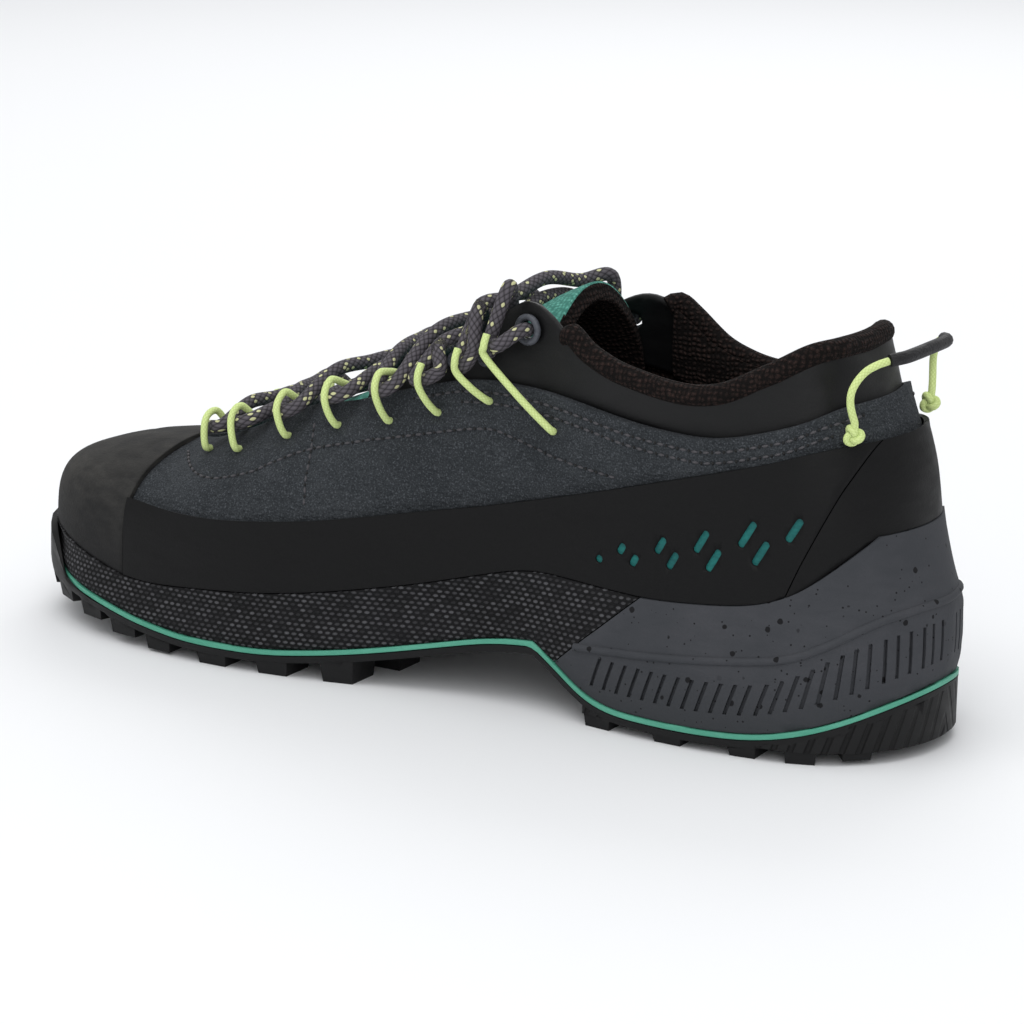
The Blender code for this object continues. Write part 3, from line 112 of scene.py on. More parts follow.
# The cord loops beside the laces, by side and number from the toe.
LOOPS = {
    "lateral_1": (
        (76, -16.7, 54.1), (76, -18.8, 54.8), (76.5, -18.7, 57.8), (77.1, -17.1, 61.9),
        (77.5, -14.3, 63.5), (77.1, -11.1, 63.4), (75.4, -9.2, 60), (74.5, -8.6, 58.1),
    ),
    "lateral_2": (
        (62.1, -24.1, 56.7), (62.1, -26.2, 57.4), (62.8, -26.5, 60.7), (63.7, -25.5, 65),
        (64.1, -23.1, 67.2), (63.7, -20, 67.9), (62.1, -17.5, 65), (61.2, -16.4, 63.3),
    ),
    "lateral_3": (
        (45.1, -26.1, 62.4), (45.1, -28.2, 63.1), (45.8, -29.3, 66.2), (46.7, -29.3, 70.3),
        (47, -27.4, 73), (46.7, -24.4, 74.2), (45.2, -21.4, 71.7), (44.4, -20, 70.2),
    ),
    "lateral_4": (
        (28.3, -28, 67), (28.3, -30.1, 67.7), (28.9, -31.5, 71), (29.7, -31.7, 75.5),
        (29.9, -30.2, 78.5), (29.7, -27.5, 80.1), (28.5, -24, 78.1), (27.9, -22.4, 76.7),
    ),
    "lateral_5": (
        (11.5, -29.4, 70.2), (11.5, -31.5, 70.9), (12.1, -32.8, 74.7), (12.8, -33, 79.8),
        (13, -31.9, 82.9), (12.8, -29.3, 84.9), (11.9, -25.5, 83.3), (11.4, -23.7, 82.2),
    ),
    "lateral_6": (
        (-3.5, -29.7, 73.5), (-3.5, -31.8, 74.2), (-2.2, -33.3, 78.1),
        (-0.7, -33.6, 83.2), (-0.6, -32.9, 86.3), (-0.7, -30.5, 88.5),
    ),
    "lateral_7": (
        (-19.7, -30.9, 76.8), (-19.7, -33, 77.5), (-16.5, -34.5, 81.8),
        (-12.5, -34.8, 87.5), (-12.2, -34.4, 90.7), (-12.5, -32.2, 93.1),
    ),
    "lateral_8": (
        (-40, -31.3, 76.4), (-40, -33.4, 77.1), (-31.9, -35.6, 82.3),
        (-22.1, -36.8, 89), (-21.9, -36.8, 92.2), (-22.1, -35, 94.9),
    ),
    "medial_1": (
        (76, 22.5, 54.6), (76, 24.6, 55.3), (76.4, 24.8, 58.3), (76.9, 23.6, 62.3),
        (77.3, 20.8, 64.1), (76.9, 17.6, 64.1), (75.3, 15.6, 60.7), (74.5, 14.9, 58.8),
    ),
    "medial_2": (
        (62.1, 28.2, 57.4), (62.1, 30.3, 58.1), (62.8, 30.8, 61.2), (63.7, 30, 65.4),
        (64.1, 27.8, 67.8), (63.7, 24.7, 68.6), (62, 22, 65.8), (61.2, 20.8, 64.2),
    ),
    "medial_3": (
        (45, 29.2, 63.6), (45, 31.3, 64.3), (45.7, 32.7, 67.2), (46.5, 33, 71.2),
        (46.8, 31.3, 73.9), (46.5, 28.4, 75.4), (45.1, 25.1, 73.1), (44.4, 23.6, 71.7),
    ),
    "medial_4": (
        (28.2, 29.8, 68.8), (28.2, 31.9, 69.5), (28.9, 33.9, 72.4), (29.7, 34.8, 76.3),
        (30, 33.8, 79.4), (29.7, 31.3, 81.5), (28.5, 27.5, 80), (27.9, 25.6, 79),
    ),
    "medial_5": (
        (11.4, 30.3, 72.3), (11.4, 32.4, 73), (11.9, 34.8, 76.1), (12.5, 36.4, 80.2),
        (12.7, 36.2, 83.4), (12.5, 34.2, 86), (11.7, 30, 85.6), (11.3, 27.9, 85.1),
    ),
    "medial_6": (
        (-3.6, 29.9, 76.4), (-3.6, 32, 77.1), (-2.6, 34.9, 80.2),
        (-1.4, 37, 84.3), (-1.3, 37.3, 87.5), (-1.4, 35.7, 90.4),
    ),
    "medial_7": (
        (-19.7, 30.6, 81.7), (-19.7, 32.7, 82.4), (-16.8, 35.6, 85.6),
        (-13.3, 37.6, 89.9), (-13.2, 38.2, 93.1), (-13.3, 36.9, 96.1),
    ),
    "medial_8": (
        (-39.7, 32, 76.8), (-39.7, 34.1, 77.5), (-32.1, 36.8, 85.3),
        (-22.9, 38.7, 95.1), (-22.7, 39.5, 98.2), (-22.9, 38.3, 101.3),
    ),
}
PULL_CORD_MEDIAL = (
    (-121.6, 24.1, 85.4), (-121.8, 24.4, 87.9), (-121.5, 25.2, 90.1), (-121.2, 25.8, 92.3),
    (-121.1, 25.9, 94.6), (-121.4, 25.4, 96.8), (-122.3, 24.2, 99.1), (-123.6, 22.4, 101.1),
    (-125.5, 20.2, 102.5), (-127.4, 17.8, 103.3),
)
PULL_SLEEVE = (
    (-127.6, 17.6, 103.4), (-129, 15.8, 103.7), (-130.2, 13, 103.9), (-130.8, 7.6, 104.1),
    (-131, 1.3, 104.2), (-130.8, -5, 104.1), (-130.2, -10.4, 103.9), (-129, -13.2, 103.7),
    (-127.6, -15, 103.4),
)
PULL_CORD_LATERAL = (
    (-127.4, -15.2, 103.3), (-125.5, -17.6, 102.5), (-123.6, -19.8, 101.1), (-122.3, -21.6, 99.1),
    (-121.4, -22.8, 96.8), (-121.1, -23.3, 94.6), (-121.2, -23.2, 92.3), (-121.5, -22.6, 90.1),
    (-121.8, -21.8, 87.9), (-121.6, -21.6, 85.4),
)
SUEDE_EDGE_MEDIAL = (
    (35.8, 23.2, 74), (27.4, 26.8, 74.5), (14.9, 27.7, 79), (2.4, 28.7, 82.7), (-10.1, 29.5, 86.1),
    (-22.6, 31.1, 87.3), (-35.1, 32.3, 86.8), (-47.6, 33.9, 85), (-60.1, 34.7, 82.6), (-72.7, 34.4, 81),
    (-85.2, 33.5, 80.3), (-97.7, 31.2, 83), (-106.2, 29.1, 85.4), (-113.9, 25.2, 89), (-119.5, 16.6, 91.1),
    (-121.3, 6, 91.5),
)
SUEDE_EDGE_LATERAL = (
    (35.8, -19.6, 72.3), (27.4, -22.9, 73.7), (14.9, -23.4, 78.2), (2.4, -23.8, 82.7), (-10.1, -25.6, 86.1),
    (-22.6, -28.9, 87.3), (-35.1, -31.1, 86.8), (-47.6, -31.5, 83.1), (-60.1, -32, 79.6),
    (-72.7, -31.9, 78.3), (-85.2, -30.8, 78.1), (-97.7, -29, 81.3), (-106.2, -26.9, 84.8),
    (-113.8, -22.6, 89.1), (-119.5, -14, 91.1), (-121.3, -3.4, 91.5),
)
# The collar's padded edge, from the medial tab round the heel to the lateral tab.
COLLAR_EDGE = (
    (-40.5, 29.4, 99.5), (-42.5, 31.2, 101.4), (-48, 32.3, 97.5), (-56.2, 33.2, 94), (-64.3, 33.4, 92),
    (-72.6, 33.2, 90.5), (-80.7, 32.6, 90.1), (-88.7, 31, 91.4), (-97, 28.6, 95.3), (-103.2, 26.6, 98.6),
    (-109.4, 22.6, 102.1), (-113.4, 15.3, 103), (-114.4, 6.3, 102.9), (-114.5, -1.6, 102.9),
    (-113.6, -11.5, 103), (-109.6, -19.9, 101.4), (-103.2, -24.5, 96.5), (-97.1, -26.4, 92.2),
    (-88.8, -28.4, 87.4), (-80.7, -29.7, 85.4), (-72.6, -30.5, 85.3), (-64.5, -30.5, 86.9),
    (-56.3, -30, 90.3), (-48, -28.7, 97.2), (-43.5, -27.6, 100.6), (-41, -25.6, 99.5),
)
# The lip of the grey heel's ribbed band on the medial side.
HEEL_LIP = (
    (-49.5, 36.5, 20.9), (-61.2, 38.1, 21.9), (-74, 39, 22.9), (-89.8, 38.3, 24.3), (-108.9, 36.8, 27.1),
    (-118.9, 33.6, 30.9), (-130.4, 25.1, 37.5), (-138.4, 11, 40.1), (-140.2, 1.3, 40.1),
)
# Upper edge of the heel tread's wall, below the aqua strip.
HEEL_WALL = (
    (-51.8, 37.1, 7.6), (-60.1, 38.3, 5.1), (-68.5, 39, 4.6), (-76.8, 39.5, 4.5), (-85.2, 39.6, 4.4),
    (-93.5, 39.1, 4.6), (-101.8, 38.3, 5.1), (-110.4, 37.2, 6.4), (-118.5, 34.5, 8.5), (-126, 30, 11.3),
    (-132.4, 23.7, 14.2), (-137, 16, 16.2), (-139.7, 7.4, 17.4), (-140.2, -1.7, 17.6),
    (-138.5, -10.6, 16.9), (-134, -18.7, 14.9), (-128.1, -25.4, 12.2), (-121.2, -30.6, 9.4),
    (-113.2, -34.3, 7.1), (-104.7, -36.1, 5.4), (-93.5, -37, 4.6), (-85.2, -37.2, 4.4), (-76.8, -37.2, 4.5),
    (-68.5, -37.1, 4.6), (-60.1, -36.8, 5.1), (-51.8, -36.7, 7.6),
)
# Small rings in the cuff beside the laces.
SMALL_RINGS = ((-5.7, 25.9, 90.2), (-15.8, 27.3, 92.2))
# Seams of the suede on the medial side; the lateral side mirrors them.
EYESTAY_SEAM = (
    (88.5, 15.7, 51.5), (78.8, 28.3, 50.4), (71, 34, 50.1), (63.6, 35.4, 50.9), (54.3, 35.9, 53.4),
    (44.6, 34.5, 58.1), (35.9, 33.4, 61.8), (19.2, 33, 66.2), (3.1, 31.9, 69.8), (-18.5, 31.8, 74.3),
    (-27.2, 32, 73.1), (-34.2, 32.1, 71.3), (-43.6, 32.6, 69), (-59.7, 33.3, 66.8),
)
VAMP_SEAM = ((38.1, 26.8, 69.1), (35.3, 33.4, 62.2), (34, 37.8, 54.4), (33, 40.4, 48))
# Slots through the rand: x, z and length.
RAND_SLOTS = (
    (-55, 45, 2.2), (-61.6, 48.7, 3.4), (-65.4, 46.1, 3.6), (-73.1, 51.3, 5.2), (-76.7, 47.8, 5.4),
    (-84.9, 54.1, 7), (-88.5, 49.7, 7), (-97.7, 57.8, 8), (-101.6, 53.4, 7.4), (-110.1, 60.3, 7),
)
# Soft folds where the foot bends the suede, on the medial side.
FLEX_CREASES = (
    ((66, 33, 52), (58, 36, 50), (50, 38.5, 45.5)),
    ((58, 33, 56), (49, 36.5, 53), (42, 38.6, 48)),
    ((28, 33.5, 62.5), (20, 37, 56), (8, 38.8, 49)),
    ((-30, 33, 70), (-42, 34.5, 62), (-58, 35.2, 57)),
)
TOE_SEAM = (
    (96, 44, 22), (96.5, 40, 42), (97.5, 30, 50), (99, 1, 56),
    (97.5, -27, 50), (96.5, -37, 40), (96, -40, 22),
)
TOE_CREASE = ((104, 30, 47.5), (112, 20, 49.5), (116, 2, 50.5), (112, -16, 49.5))


# Shader helpers.

def colour(red, green, blue):
    """A shader colour from display tones of 0 to 255."""
    def linear(value):
        value /= 255.0
        return value / 12.92 if value <= 0.04045 else ((value + 0.055) / 1.055) ** 2.4
    return (linear(red), linear(green), linear(blue), 1.0)


def put(tree, kind, sockets=None, **settings):
    """A new shader node; each socket gets a link or a constant."""
    made = tree.nodes.new("ShaderNode" + kind)
    for name, value in settings.items():
        setattr(made, name, value)
    for socket, value in (sockets or {}).items():
        if isinstance(value, bpy.types.NodeSocket):
            tree.links.new(value, made.inputs[socket])
        else:
            made.inputs[socket].default_value = value
    return made


def mix(tree, amount, first, second, blend="MIX"):
    made = put(tree, "Mix", {0: amount, 6: first, 7: second}, data_type="RGBA", blend_type=blend)
    return made.outputs[2]


def sums(tree, kind, first, second=0.0, third=0.0):
    return put(tree, "Math", {0: first, 1: second, 2: third}, operation=kind).outputs[0]


def ramp(tree, value, low, high, to_low=0.0, to_high=1.0):
    """Maps low to high onto to_low to to_high, clamped."""
    made = put(tree, "MapRange", {0: value, 1: low, 2: high, 3: to_low, 4: to_high}, clamp=True)
    return made.outputs[0]


def noise(tree, vector, scale, detail=2.0, rough=0.5):
    sockets = {"Vector": vector, "Scale": scale, "Detail": detail, "Roughness": rough}
    return put(tree, "TexNoise", sockets).outputs["Fac"]


def new_effect(name, inputs, outputs):
    """An empty shader group with its sockets; a constant None leaves the socket's own."""
    tree = bpy.data.node_groups.new(name, "ShaderNodeTree")
    for label, kind, value in inputs:
        socket = tree.interface.new_socket(label, in_out="INPUT", socket_type="NodeSocket" + kind)
        if value is not None:
            socket.default_value = value
    for label, kind in outputs:
        tree.interface.new_socket(label, in_out="OUTPUT", socket_type="NodeSocket" + kind)
    return tree, tree.nodes.new("NodeGroupInput"), tree.nodes.new("NodeGroupOutput")


def make_surface_effect():
    """Cloudy wear and a fine grain, for rubber, foam and leather alike."""
    tree, given, result = new_effect(
        "worn grain",
        [("Vector", "Vector", None), ("Grain", "Float", 900.0), ("Cloud", "Float", 45.0)],
        [("Wear", "Float"), ("Height", "Float")],
    )
    place = given.outputs["Vector"]
    cloud = noise(tree, place, given.outputs["Cloud"], 5.0, 0.62)
    streaks = put(tree, "Mapping", {"Vector": place, "Scale": (1.0, 1.0, 3.0), "Rotation": (0.0, 0.5, 0.3)})
    brushed = noise(tree, streaks.outputs[0], sums(tree, "MULTIPLY", given.outputs["Cloud"], 4.0), 3.0)
    both = sums(tree, "ADD", sums(tree, "MULTIPLY", cloud, 0.65), sums(tree, "MULTIPLY", brushed, 0.35))
    tree.links.new(ramp(tree, both, 0.38, 0.64), result.inputs["Wear"])
    fine = noise(tree, place, given.outputs["Grain"], 3.0, 0.6)
    tree.links.new(fine, result.inputs["Height"])
    return tree


def make_speckle_effect():
    """Sparse dark crumbs of two sizes in moulded foam."""
    tree, given, result = new_effect(
        "foam speckles", [("Vector", "Vector", None), ("Scale", "Float", 260.0)], [("Mask", "Float")]
    )
    masks = []
    for share, size in ((1.0, 0.16), (0.42, 0.2)):
        scale = sums(tree, "MULTIPLY", given.outputs["Scale"], share)
        bent = noise(tree, given.outputs["Vector"], sums(tree, "MULTIPLY", scale, 3.0))
        cell = put(tree, "TexVoronoi", {"Vector": given.outputs["Vector"], "Scale": scale})
        near = sums(tree, "ADD", cell.outputs["Distance"], sums(tree, "MULTIPLY", bent, 0.16))
        dot = ramp(tree, near, size + 0.06, size + 0.1, 1.0, 0.0)
        shown = put(tree, "SeparateColor", {"Color": cell.outputs["Color"]}).outputs[0]
        masks.append(sums(tree, "MULTIPLY", dot, ramp(tree, shown, 0.66, 0.7)))
    tree.links.new(sums(tree, "MAXIMUM", masks[0], masks[1]), result.inputs["Mask"])
    return tree


def make_rice_effect():
    """Rows of short raised grains, each row shifted half a grain, on a wrapped UV in metres."""
    tree, given, result = new_effect(
        "rice weave",
        [("UV", "Vector", None), ("Length", "Float", 0.0021), ("Pitch", "Float", 0.00135)],
        [("Grain", "Float"), ("Random", "Float")],
    )
    parts = put(tree, "SeparateXYZ", {0: given.outputs["UV"]})
    lean = sums(tree, "ADD", parts.outputs[0], sums(tree, "MULTIPLY", parts.outputs[1], 0.18))
    across = sums(tree, "DIVIDE", parts.outputs[1], given.outputs["Pitch"])
    row = sums(tree, "FLOOR", across)
    shift = sums(tree, "MULTIPLY", sums(tree, "MODULO", row, 2.0), 0.5)
    along = sums(tree, "ADD", sums(tree, "DIVIDE", lean, given.outputs["Length"]), shift)
    u = sums(tree, "SUBTRACT", sums(tree, "FRACT", along), 0.5)
    v = sums(tree, "SUBTRACT", sums(tree, "FRACT", across), 0.5)
    reach = sums(
        tree, "ADD",
        sums(tree, "POWER", sums(tree, "MULTIPLY", u, 2.5), 2.0),
        sums(tree, "POWER", sums(tree, "MULTIPLY", v, 2.7), 2.0),
    )
    tree.links.new(ramp(tree, reach, 0.35, 1.1, 1.0, 0.0), result.inputs["Grain"])
    cell = put(tree, "CombineXYZ", {0: sums(tree, "FLOOR", along), 1: row})
    tree.links.new(
        put(tree, "TexWhiteNoise", {"Vector": cell.outputs[0]}, noise_dimensions="2D").outputs["Value"],
        result.inputs["Random"],
    )
    return tree


def make_braid_effect():
    """Crossing strands of a round braid, on a UV of metres along and turns round."""
    tree, given, result = new_effect(
        "round braid",
        [("UV", "Vector", None), ("Lay", "Float", 0.0042), ("Strands", "Float", 5.0)],
        [("Height", "Float"), ("Fleck", "Float")],
    )
    parts = put(tree, "SeparateXYZ", {0: given.outputs["UV"]})
    along = sums(tree, "DIVIDE", parts.outputs[0], given.outputs["Lay"])
    turn = sums(tree, "MULTIPLY", parts.outputs[1], given.outputs["Strands"])
    heights, ids = [], []
    for sign in (1.0, -1.0):
        strand = sums(tree, "ADD", along, sums(tree, "MULTIPLY", turn, sign))
        wave = sums(tree, "SUBTRACT", sums(tree, "FRACT", strand), 0.5)
        square = sums(tree, "POWER", sums(tree, "MULTIPLY", wave, 2.0), 2.0)
        heights.append(sums(tree, "SUBTRACT", 1.0, square))
        ids.append(sums(tree, "FLOOR", strand))
    weave = sums(tree, "MULTIPLY", heights[0], heights[1])
    tree.links.new(sums(tree, "POWER", weave, 0.5), result.inputs["Height"])
    cell = put(tree, "CombineXYZ", {0: ids[0], 1: ids[1]})
    chance = put(tree, "TexWhiteNoise", {"Vector": cell.outputs[0]}, noise_dimensions="2D").outputs["Value"]
    picked = ramp(tree, chance, 0.83, 0.85)
    tree.links.new(sums(tree, "MULTIPLY", picked, ramp(tree, weave, 0.35, 0.6)), result.inputs["Fleck"])
    return tree


def make_knit_effect():
    """Interlocking round cells of an open mesh on object coordinates."""
    tree, given, result = new_effect(
        "open mesh", [("Vector", "Vector", None), ("Scale", "Float", 420.0)], [("Height", "Float")]
    )
    scaled = put(
        tree, "VectorMath", {0: given.outputs["Vector"], 3: given.outputs["Scale"]}, operation="SCALE"
    )
    bent = put(tree, "TexNoise", {"Vector": scaled.outputs[0], "Scale": 0.35, "Detail": 1.0})
    moved = put(
        tree, "VectorMath", {0: bent.outputs["Color"], 1: (1.2, 1.2, 1.2), 2: scaled.outputs[0]},
        operation="MULTIPLY_ADD",
    )
    cell = put(tree, "TexVoronoi", {"Vector": moved.outputs[0], "Scale": 1.0, "Randomness": 0.28})
    tree.links.new(ramp(tree, cell.outputs["Distance"], 0.1, 0.6, 1.0, 0.0), result.inputs["Height"])
    return tree


SURFACE = make_surface_effect()
SPECKLES = make_speckle_effect()
RICE = make_rice_effect()
BRAID = make_braid_effect()
MESH = make_knit_effect()


def start_finish(name):
    """A new material with its tree, its main shader and the object coordinates."""
    material = bpy.data.materials.new(name)
    material.use_nodes = True
    tree = material.node_tree
    shader = tree.nodes["Principled BSDF"]
    place = put(tree, "TexCoord").outputs["Object"]
    return material, tree, shader, place


def effect(tree, group, sockets):
    """Puts a shader group into a material and returns its outputs."""
    made = put(tree, "Group", node_tree=group)
    for name, value in sockets.items():
        if isinstance(value, bpy.types.NodeSocket):
            tree.links.new(value, made.inputs[name])
        else:
            made.inputs[name].default_value = value
    return made.outputs


def raise_surface(tree, shader, layers):
    """Bumps the surface; layers are (height, depth in metres), the coarsest first."""
    normal = None
    for height, depth in layers:
        sockets = {"Height": height, "Distance": depth, "Strength": 1.0}
        if normal:
            sockets["Normal"] = normal
        normal = put(tree, "Bump", sockets).outputs[0]
    tree.links.new(normal, shader.inputs["Normal"])


def uv_of(tree, name):
    return put(tree, "UVMap", uv_map=name).outputs[0]


def grained(
    name, dark, light, rough, grain=1100.0, cloud=45.0, depth=0.00006, sheen=0.0, gloss=0.25, spread=0.1
):
    """A worn, grained finish between two tones; returns its parts for further layers.

    grain and cloud are the scales of the fine and the broad pattern, depth the grain's height in
    metres, and rough and spread the mean roughness and how far wear changes it.
    """
    material, tree, shader, place = start_finish(name)
    worn = effect(tree, SURFACE, {"Vector": place, "Grain": grain, "Cloud": cloud})
    tone = mix(tree, worn["Wear"], colour(*dark), colour(*light))
    fleck = mix(tree, ramp(tree, worn["Height"], 0.3, 0.7, 0.0, 0.35), tone, colour(*dark))
    tree.links.new(fleck, shader.inputs["Base Color"])
    matt = ramp(tree, worn["Wear"], 0.0, 1.0, rough - spread, rough + spread)
    tree.links.new(matt, shader.inputs["Roughness"])
    shader.inputs["Sheen Weight"].default_value = sheen
    shader.inputs["Sheen Roughness"].default_value = 0.45
    shader.inputs["Sheen Tint"].default_value = colour(110, 112, 118)
    shader.inputs["Specular IOR Level"].default_value = gloss
    raise_surface(tree, shader, [(worn["Wear"], depth * 2.0), (worn["Height"], depth)])
    return material, tree, shader, place, fleck


def make_suede():
    material, tree, shader, place, tone = grained(
        "brushed suede", (44, 47, 50), (58, 61, 64), 0.93, 1700.0, 70.0, 0.0003,
        sheen=0.12, gloss=0.1, spread=0.05,
    )
    nap = noise(tree, place, 2100.0, 2.0, 0.7)
    pitted = mix(tree, ramp(tree, nap, 0.28, 0.45, 0.7, 0.0), tone, colour(24, 26, 29))
    lit = mix(tree, ramp(tree, nap, 0.54, 0.74, 0.0, 0.7), pitted, colour(98, 102, 107))
    tree.links.new(lit, shader.inputs["Base Color"])
    return material


def make_toe_rubber():
    material, tree, shader, place, tone = grained(
        "worn toe rubber darker below", (34, 34, 34), (66, 65, 63), 0.8, 1600.0, 38.0, 0.00014, gloss=0.15, spread=0.08
    )
    # Darker towards the bottom: the tone goes to near black below about 18 mm and is all the grained tone
    # above 44 mm.
    height = put(tree, "SeparateXYZ", {0: place}).outputs[2]
    low = mix(tree, ramp(tree, height, 0.018, 0.044), colour(30, 30, 31), tone)
    tree.links.new(low, shader.inputs["Base Color"])
    return material


def make_grooved_rubber():
    material, tree, shader, _, tone = grained(
        "grooved tread rubber", (14, 14, 15), (26, 26, 27), 0.6, 1000.0, 40.0, 0.00005
    )
    parts = put(tree, "SeparateXYZ", {0: uv_of(tree, "wrap")})
    lean = sums(tree, "ADD", parts.outputs[0], sums(tree, "MULTIPLY", parts.outputs[1], 0.35))
    wave = sums(tree, "SUBTRACT", sums(tree, "FRACT", sums(tree, "DIVIDE", lean, 0.0042)), 0.5)
    groove = ramp(tree, sums(tree, "ABSOLUTE", wave), 0.1, 0.22)
    # The grooves are painted darker than the ridges: painted shade in the grooves, besides their bump.
    tree.links.new(mix(tree, groove, colour(8, 8, 9), tone), shader.inputs["Base Color"])
    raise_surface(tree, shader, [(groove, 0.0008)])
    return material


def make_woven_foam():
    material, tree, shader, place = start_finish("rice woven foam")
    weave = effect(tree, RICE, {"UV": uv_of(tree, "wrap")})
    worn = effect(tree, SURFACE, {"Vector": place, "Grain": 1500.0, "Cloud": 30.0})
    dot = mix(tree, weave["Random"], colour(26, 26, 28), colour(80, 80, 83))
    base = mix(tree, worn["Wear"], colour(10, 10, 11), colour(20, 20, 22))
    tree.links.new(mix(tree, weave["Grain"], base, dot), shader.inputs["Base Color"])
    tree.links.new(ramp(tree, weave["Grain"], 0.0, 1.0, 0.8, 0.6), shader.inputs["Roughness"])
    shader.inputs["Specular IOR Level"].default_value = 0.2
    raise_surface(tree, shader, [(weave["Grain"], 0.00035), (worn["Height"], 0.00005)])
    return material


def make_heel_foam():
    material, tree, shader, place, tone = grained(
        "speckled heel foam", (58, 60, 64), (69, 70, 74), 0.75, 1300.0, 30.0, 0.00007, gloss=0.15
    )
    crumbs = effect(tree, SPECKLES, {"Vector": place, "Scale": 620.0})["Mask"]
    height = put(tree, "SeparateXYZ", {0: place}).outputs[2]
    shaded = mix(tree, ramp(tree, height, 0.006, 0.024), colour(56, 58, 61), tone)
    tree.links.new(mix(tree, crumbs, shaded, colour(24, 24, 26)), shader.inputs["Base Color"])
    return material


def make_mesh_cloth(name, hollow, thread, scale, depth, rough=0.9, hollow_shade_share=0.45):
    material, tree, shader, place = start_finish(name)
    height = effect(tree, MESH, {"Vector": place, "Scale": scale})["Height"]
    fuzz = noise(tree, place, 2500.0, 2.0)
    lit = mix(tree, ramp(tree, fuzz, 0.35, 0.7), colour(*hollow), colour(*thread))
    # The hollows between the raised cells are a share of the hollow tone: painted shade in the mesh's
    # hollows.
    hollow_shade_tone = colour(*[hollow_shade_share * tone for tone in hollow])
    tree.links.new(mix(tree, height, hollow_shade_tone, lit), shader.inputs["Base Color"])
    shader.inputs["Roughness"].default_value = rough
    shader.inputs["Specular IOR Level"].default_value = 0.15
    raise_surface(tree, shader, [(height, depth), (fuzz, 0.00006)])
    return material


def make_braid_finish(name, dark, light, fleck, lay, strands, depth, rough=0.8):
    material, tree, shader, place = start_finish(name)
    braid = effect(tree, BRAID, {"UV": uv_of(tree, "run"), "Lay": lay, "Strands": strands})
    fuzz = noise(tree, place, 3000.0, 2.0)
    # The tone runs from dark in the troughs between the strands to light on their crests: painted shade in
    # the troughs.
    tone = mix(tree, braid["Height"], colour(*dark), colour(*light))
    if fleck:
        tone = mix(tree, braid["Fleck"], tone, colour(*fleck))
    tree.links.new(tone, shader.inputs["Base Color"])
    shader.inputs["Roughness"].default_value = rough
    shader.inputs["Specular IOR Level"].default_value = 0.25
    raise_surface(tree, shader, [(braid["Height"], depth), (fuzz, 0.00005)])
    return material


def make_thread(name, dark, light):
    material, tree, shader, place = start_finish(name)
    twist = noise(tree, place, 1800.0, 2.0)
    tree.links.new(mix(tree, twist, colour(*dark), colour(*light)), shader.inputs["Base Color"])
    shader.inputs["Roughness"].default_value = 0.75
    raise_surface(tree, shader, [(twist, 0.0001)])
    return material


SUEDE = make_suede()
THREAD = make_thread("seam thread", (48, 47, 50), (84, 82, 86))
# Near-black dots in the seams, between the stitches: painted shade in the needle holes.
HOLE_SHADE = make_thread("needle hole shade", (7, 7, 8), (14, 14, 15))
TOE_RUBBER = make_toe_rubber()
GROOVED_RUBBER = make_grooved_rubber()
WOVEN_FOAM = make_woven_foam()
HEEL_FOAM = make_heel_foam()
RAND_RUBBER = grained("smooth black rand", (4, 4, 5), (14, 14, 15), 0.6, 1500.0, 26.0, 0.00006, gloss=0.2)[0]
CUFF_FILM = grained("soft black cuff", (5, 5, 6), (12, 13, 14), 0.5, 1900.0, 24.0, 0.00005, gloss=0.28)[0]
STRIP_RUBBER = grained("aqua strip", (74, 150, 126), (94, 168, 144), 0.5, 1200.0, 40.0, 0.00003)[0]
TREAD_RUBBER = grained("black tread rubber", (14, 14, 15), (26, 26, 27), 0.65, 1000.0, 40.0, 0.00006)[0]
SLOT_FILL = grained("aqua slot film", (14, 84, 84), (34, 124, 118), 0.55, 1200.0, 90.0, 0.00003)[0]
EYELET_METAL = grained("dark eyelet ring", (58, 60, 66), (92, 95, 102), 0.36, 900.0, 120.0, 0.00002)[0]
# The hollows of each cloth get painted shade; the tongue's last number is its share.
INSOLE_CLOTH = make_mesh_cloth("insole cloth", (18, 18, 20), (36, 36, 39), 700.0, 0.0001)
COLLAR_MESH = make_mesh_cloth("collar mesh", (28, 21, 19), (68, 51, 47), 720.0, 0.0008)
TONGUE_KNIT = make_mesh_cloth("aqua tongue knit", (74, 144, 130), (118, 186, 170), 780.0, 0.00022, 0.8, 0.8)
# The first tone of each braid is painted shade in the troughs between its strands.
LACE_BRAID = make_braid_finish(
    "flecked lace braid", (30, 28, 31), (92, 88, 94), (196, 196, 150), 0.0022, 7.0, 0.0002
)
CORD_BRAID = make_braid_finish(
    "yellow green cord", (186, 204, 126), (212, 229, 156), None, 0.0012, 6.0, 0.00004, 0.6
)
SLEEVE_FILM = grained("black cord sleeve", (26, 26, 28), (44, 44, 46), 0.6, 1400.0, 200.0, 0.00012)[0]


# Mesh helpers.

def placed(name, data):
    """A new object in the scene."""
    made = bpy.data.objects.new(name, data)
    bpy.context.scene.collection.objects.link(made)
    return made


def own(name, mesh, finish, replaced=()):
    """A finished piece of the visual model, riding on the root body."""
    piece = placed(name, mesh)
    mesh.materials.clear()
    mesh.materials.append(finish)
    if replaced:
        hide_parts(*replaced)
    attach(piece, "root")
    return piece


def mesh_of(bm, name):
    """Turns a bmesh into a mesh and frees it."""
    mesh = bpy.data.meshes.new(name)
    bm.to_mesh(mesh)
    bm.free()
    return mesh


def settled(piece):
    """The piece's mesh with its modifiers or its curve's bevel applied; the object goes."""
    graph = bpy.context.evaluated_depsgraph_get()
    graph.update()
    mesh = bpy.data.meshes.new_from_object(piece.evaluated_get(graph))
    bpy.data.objects.remove(piece)
    return mesh


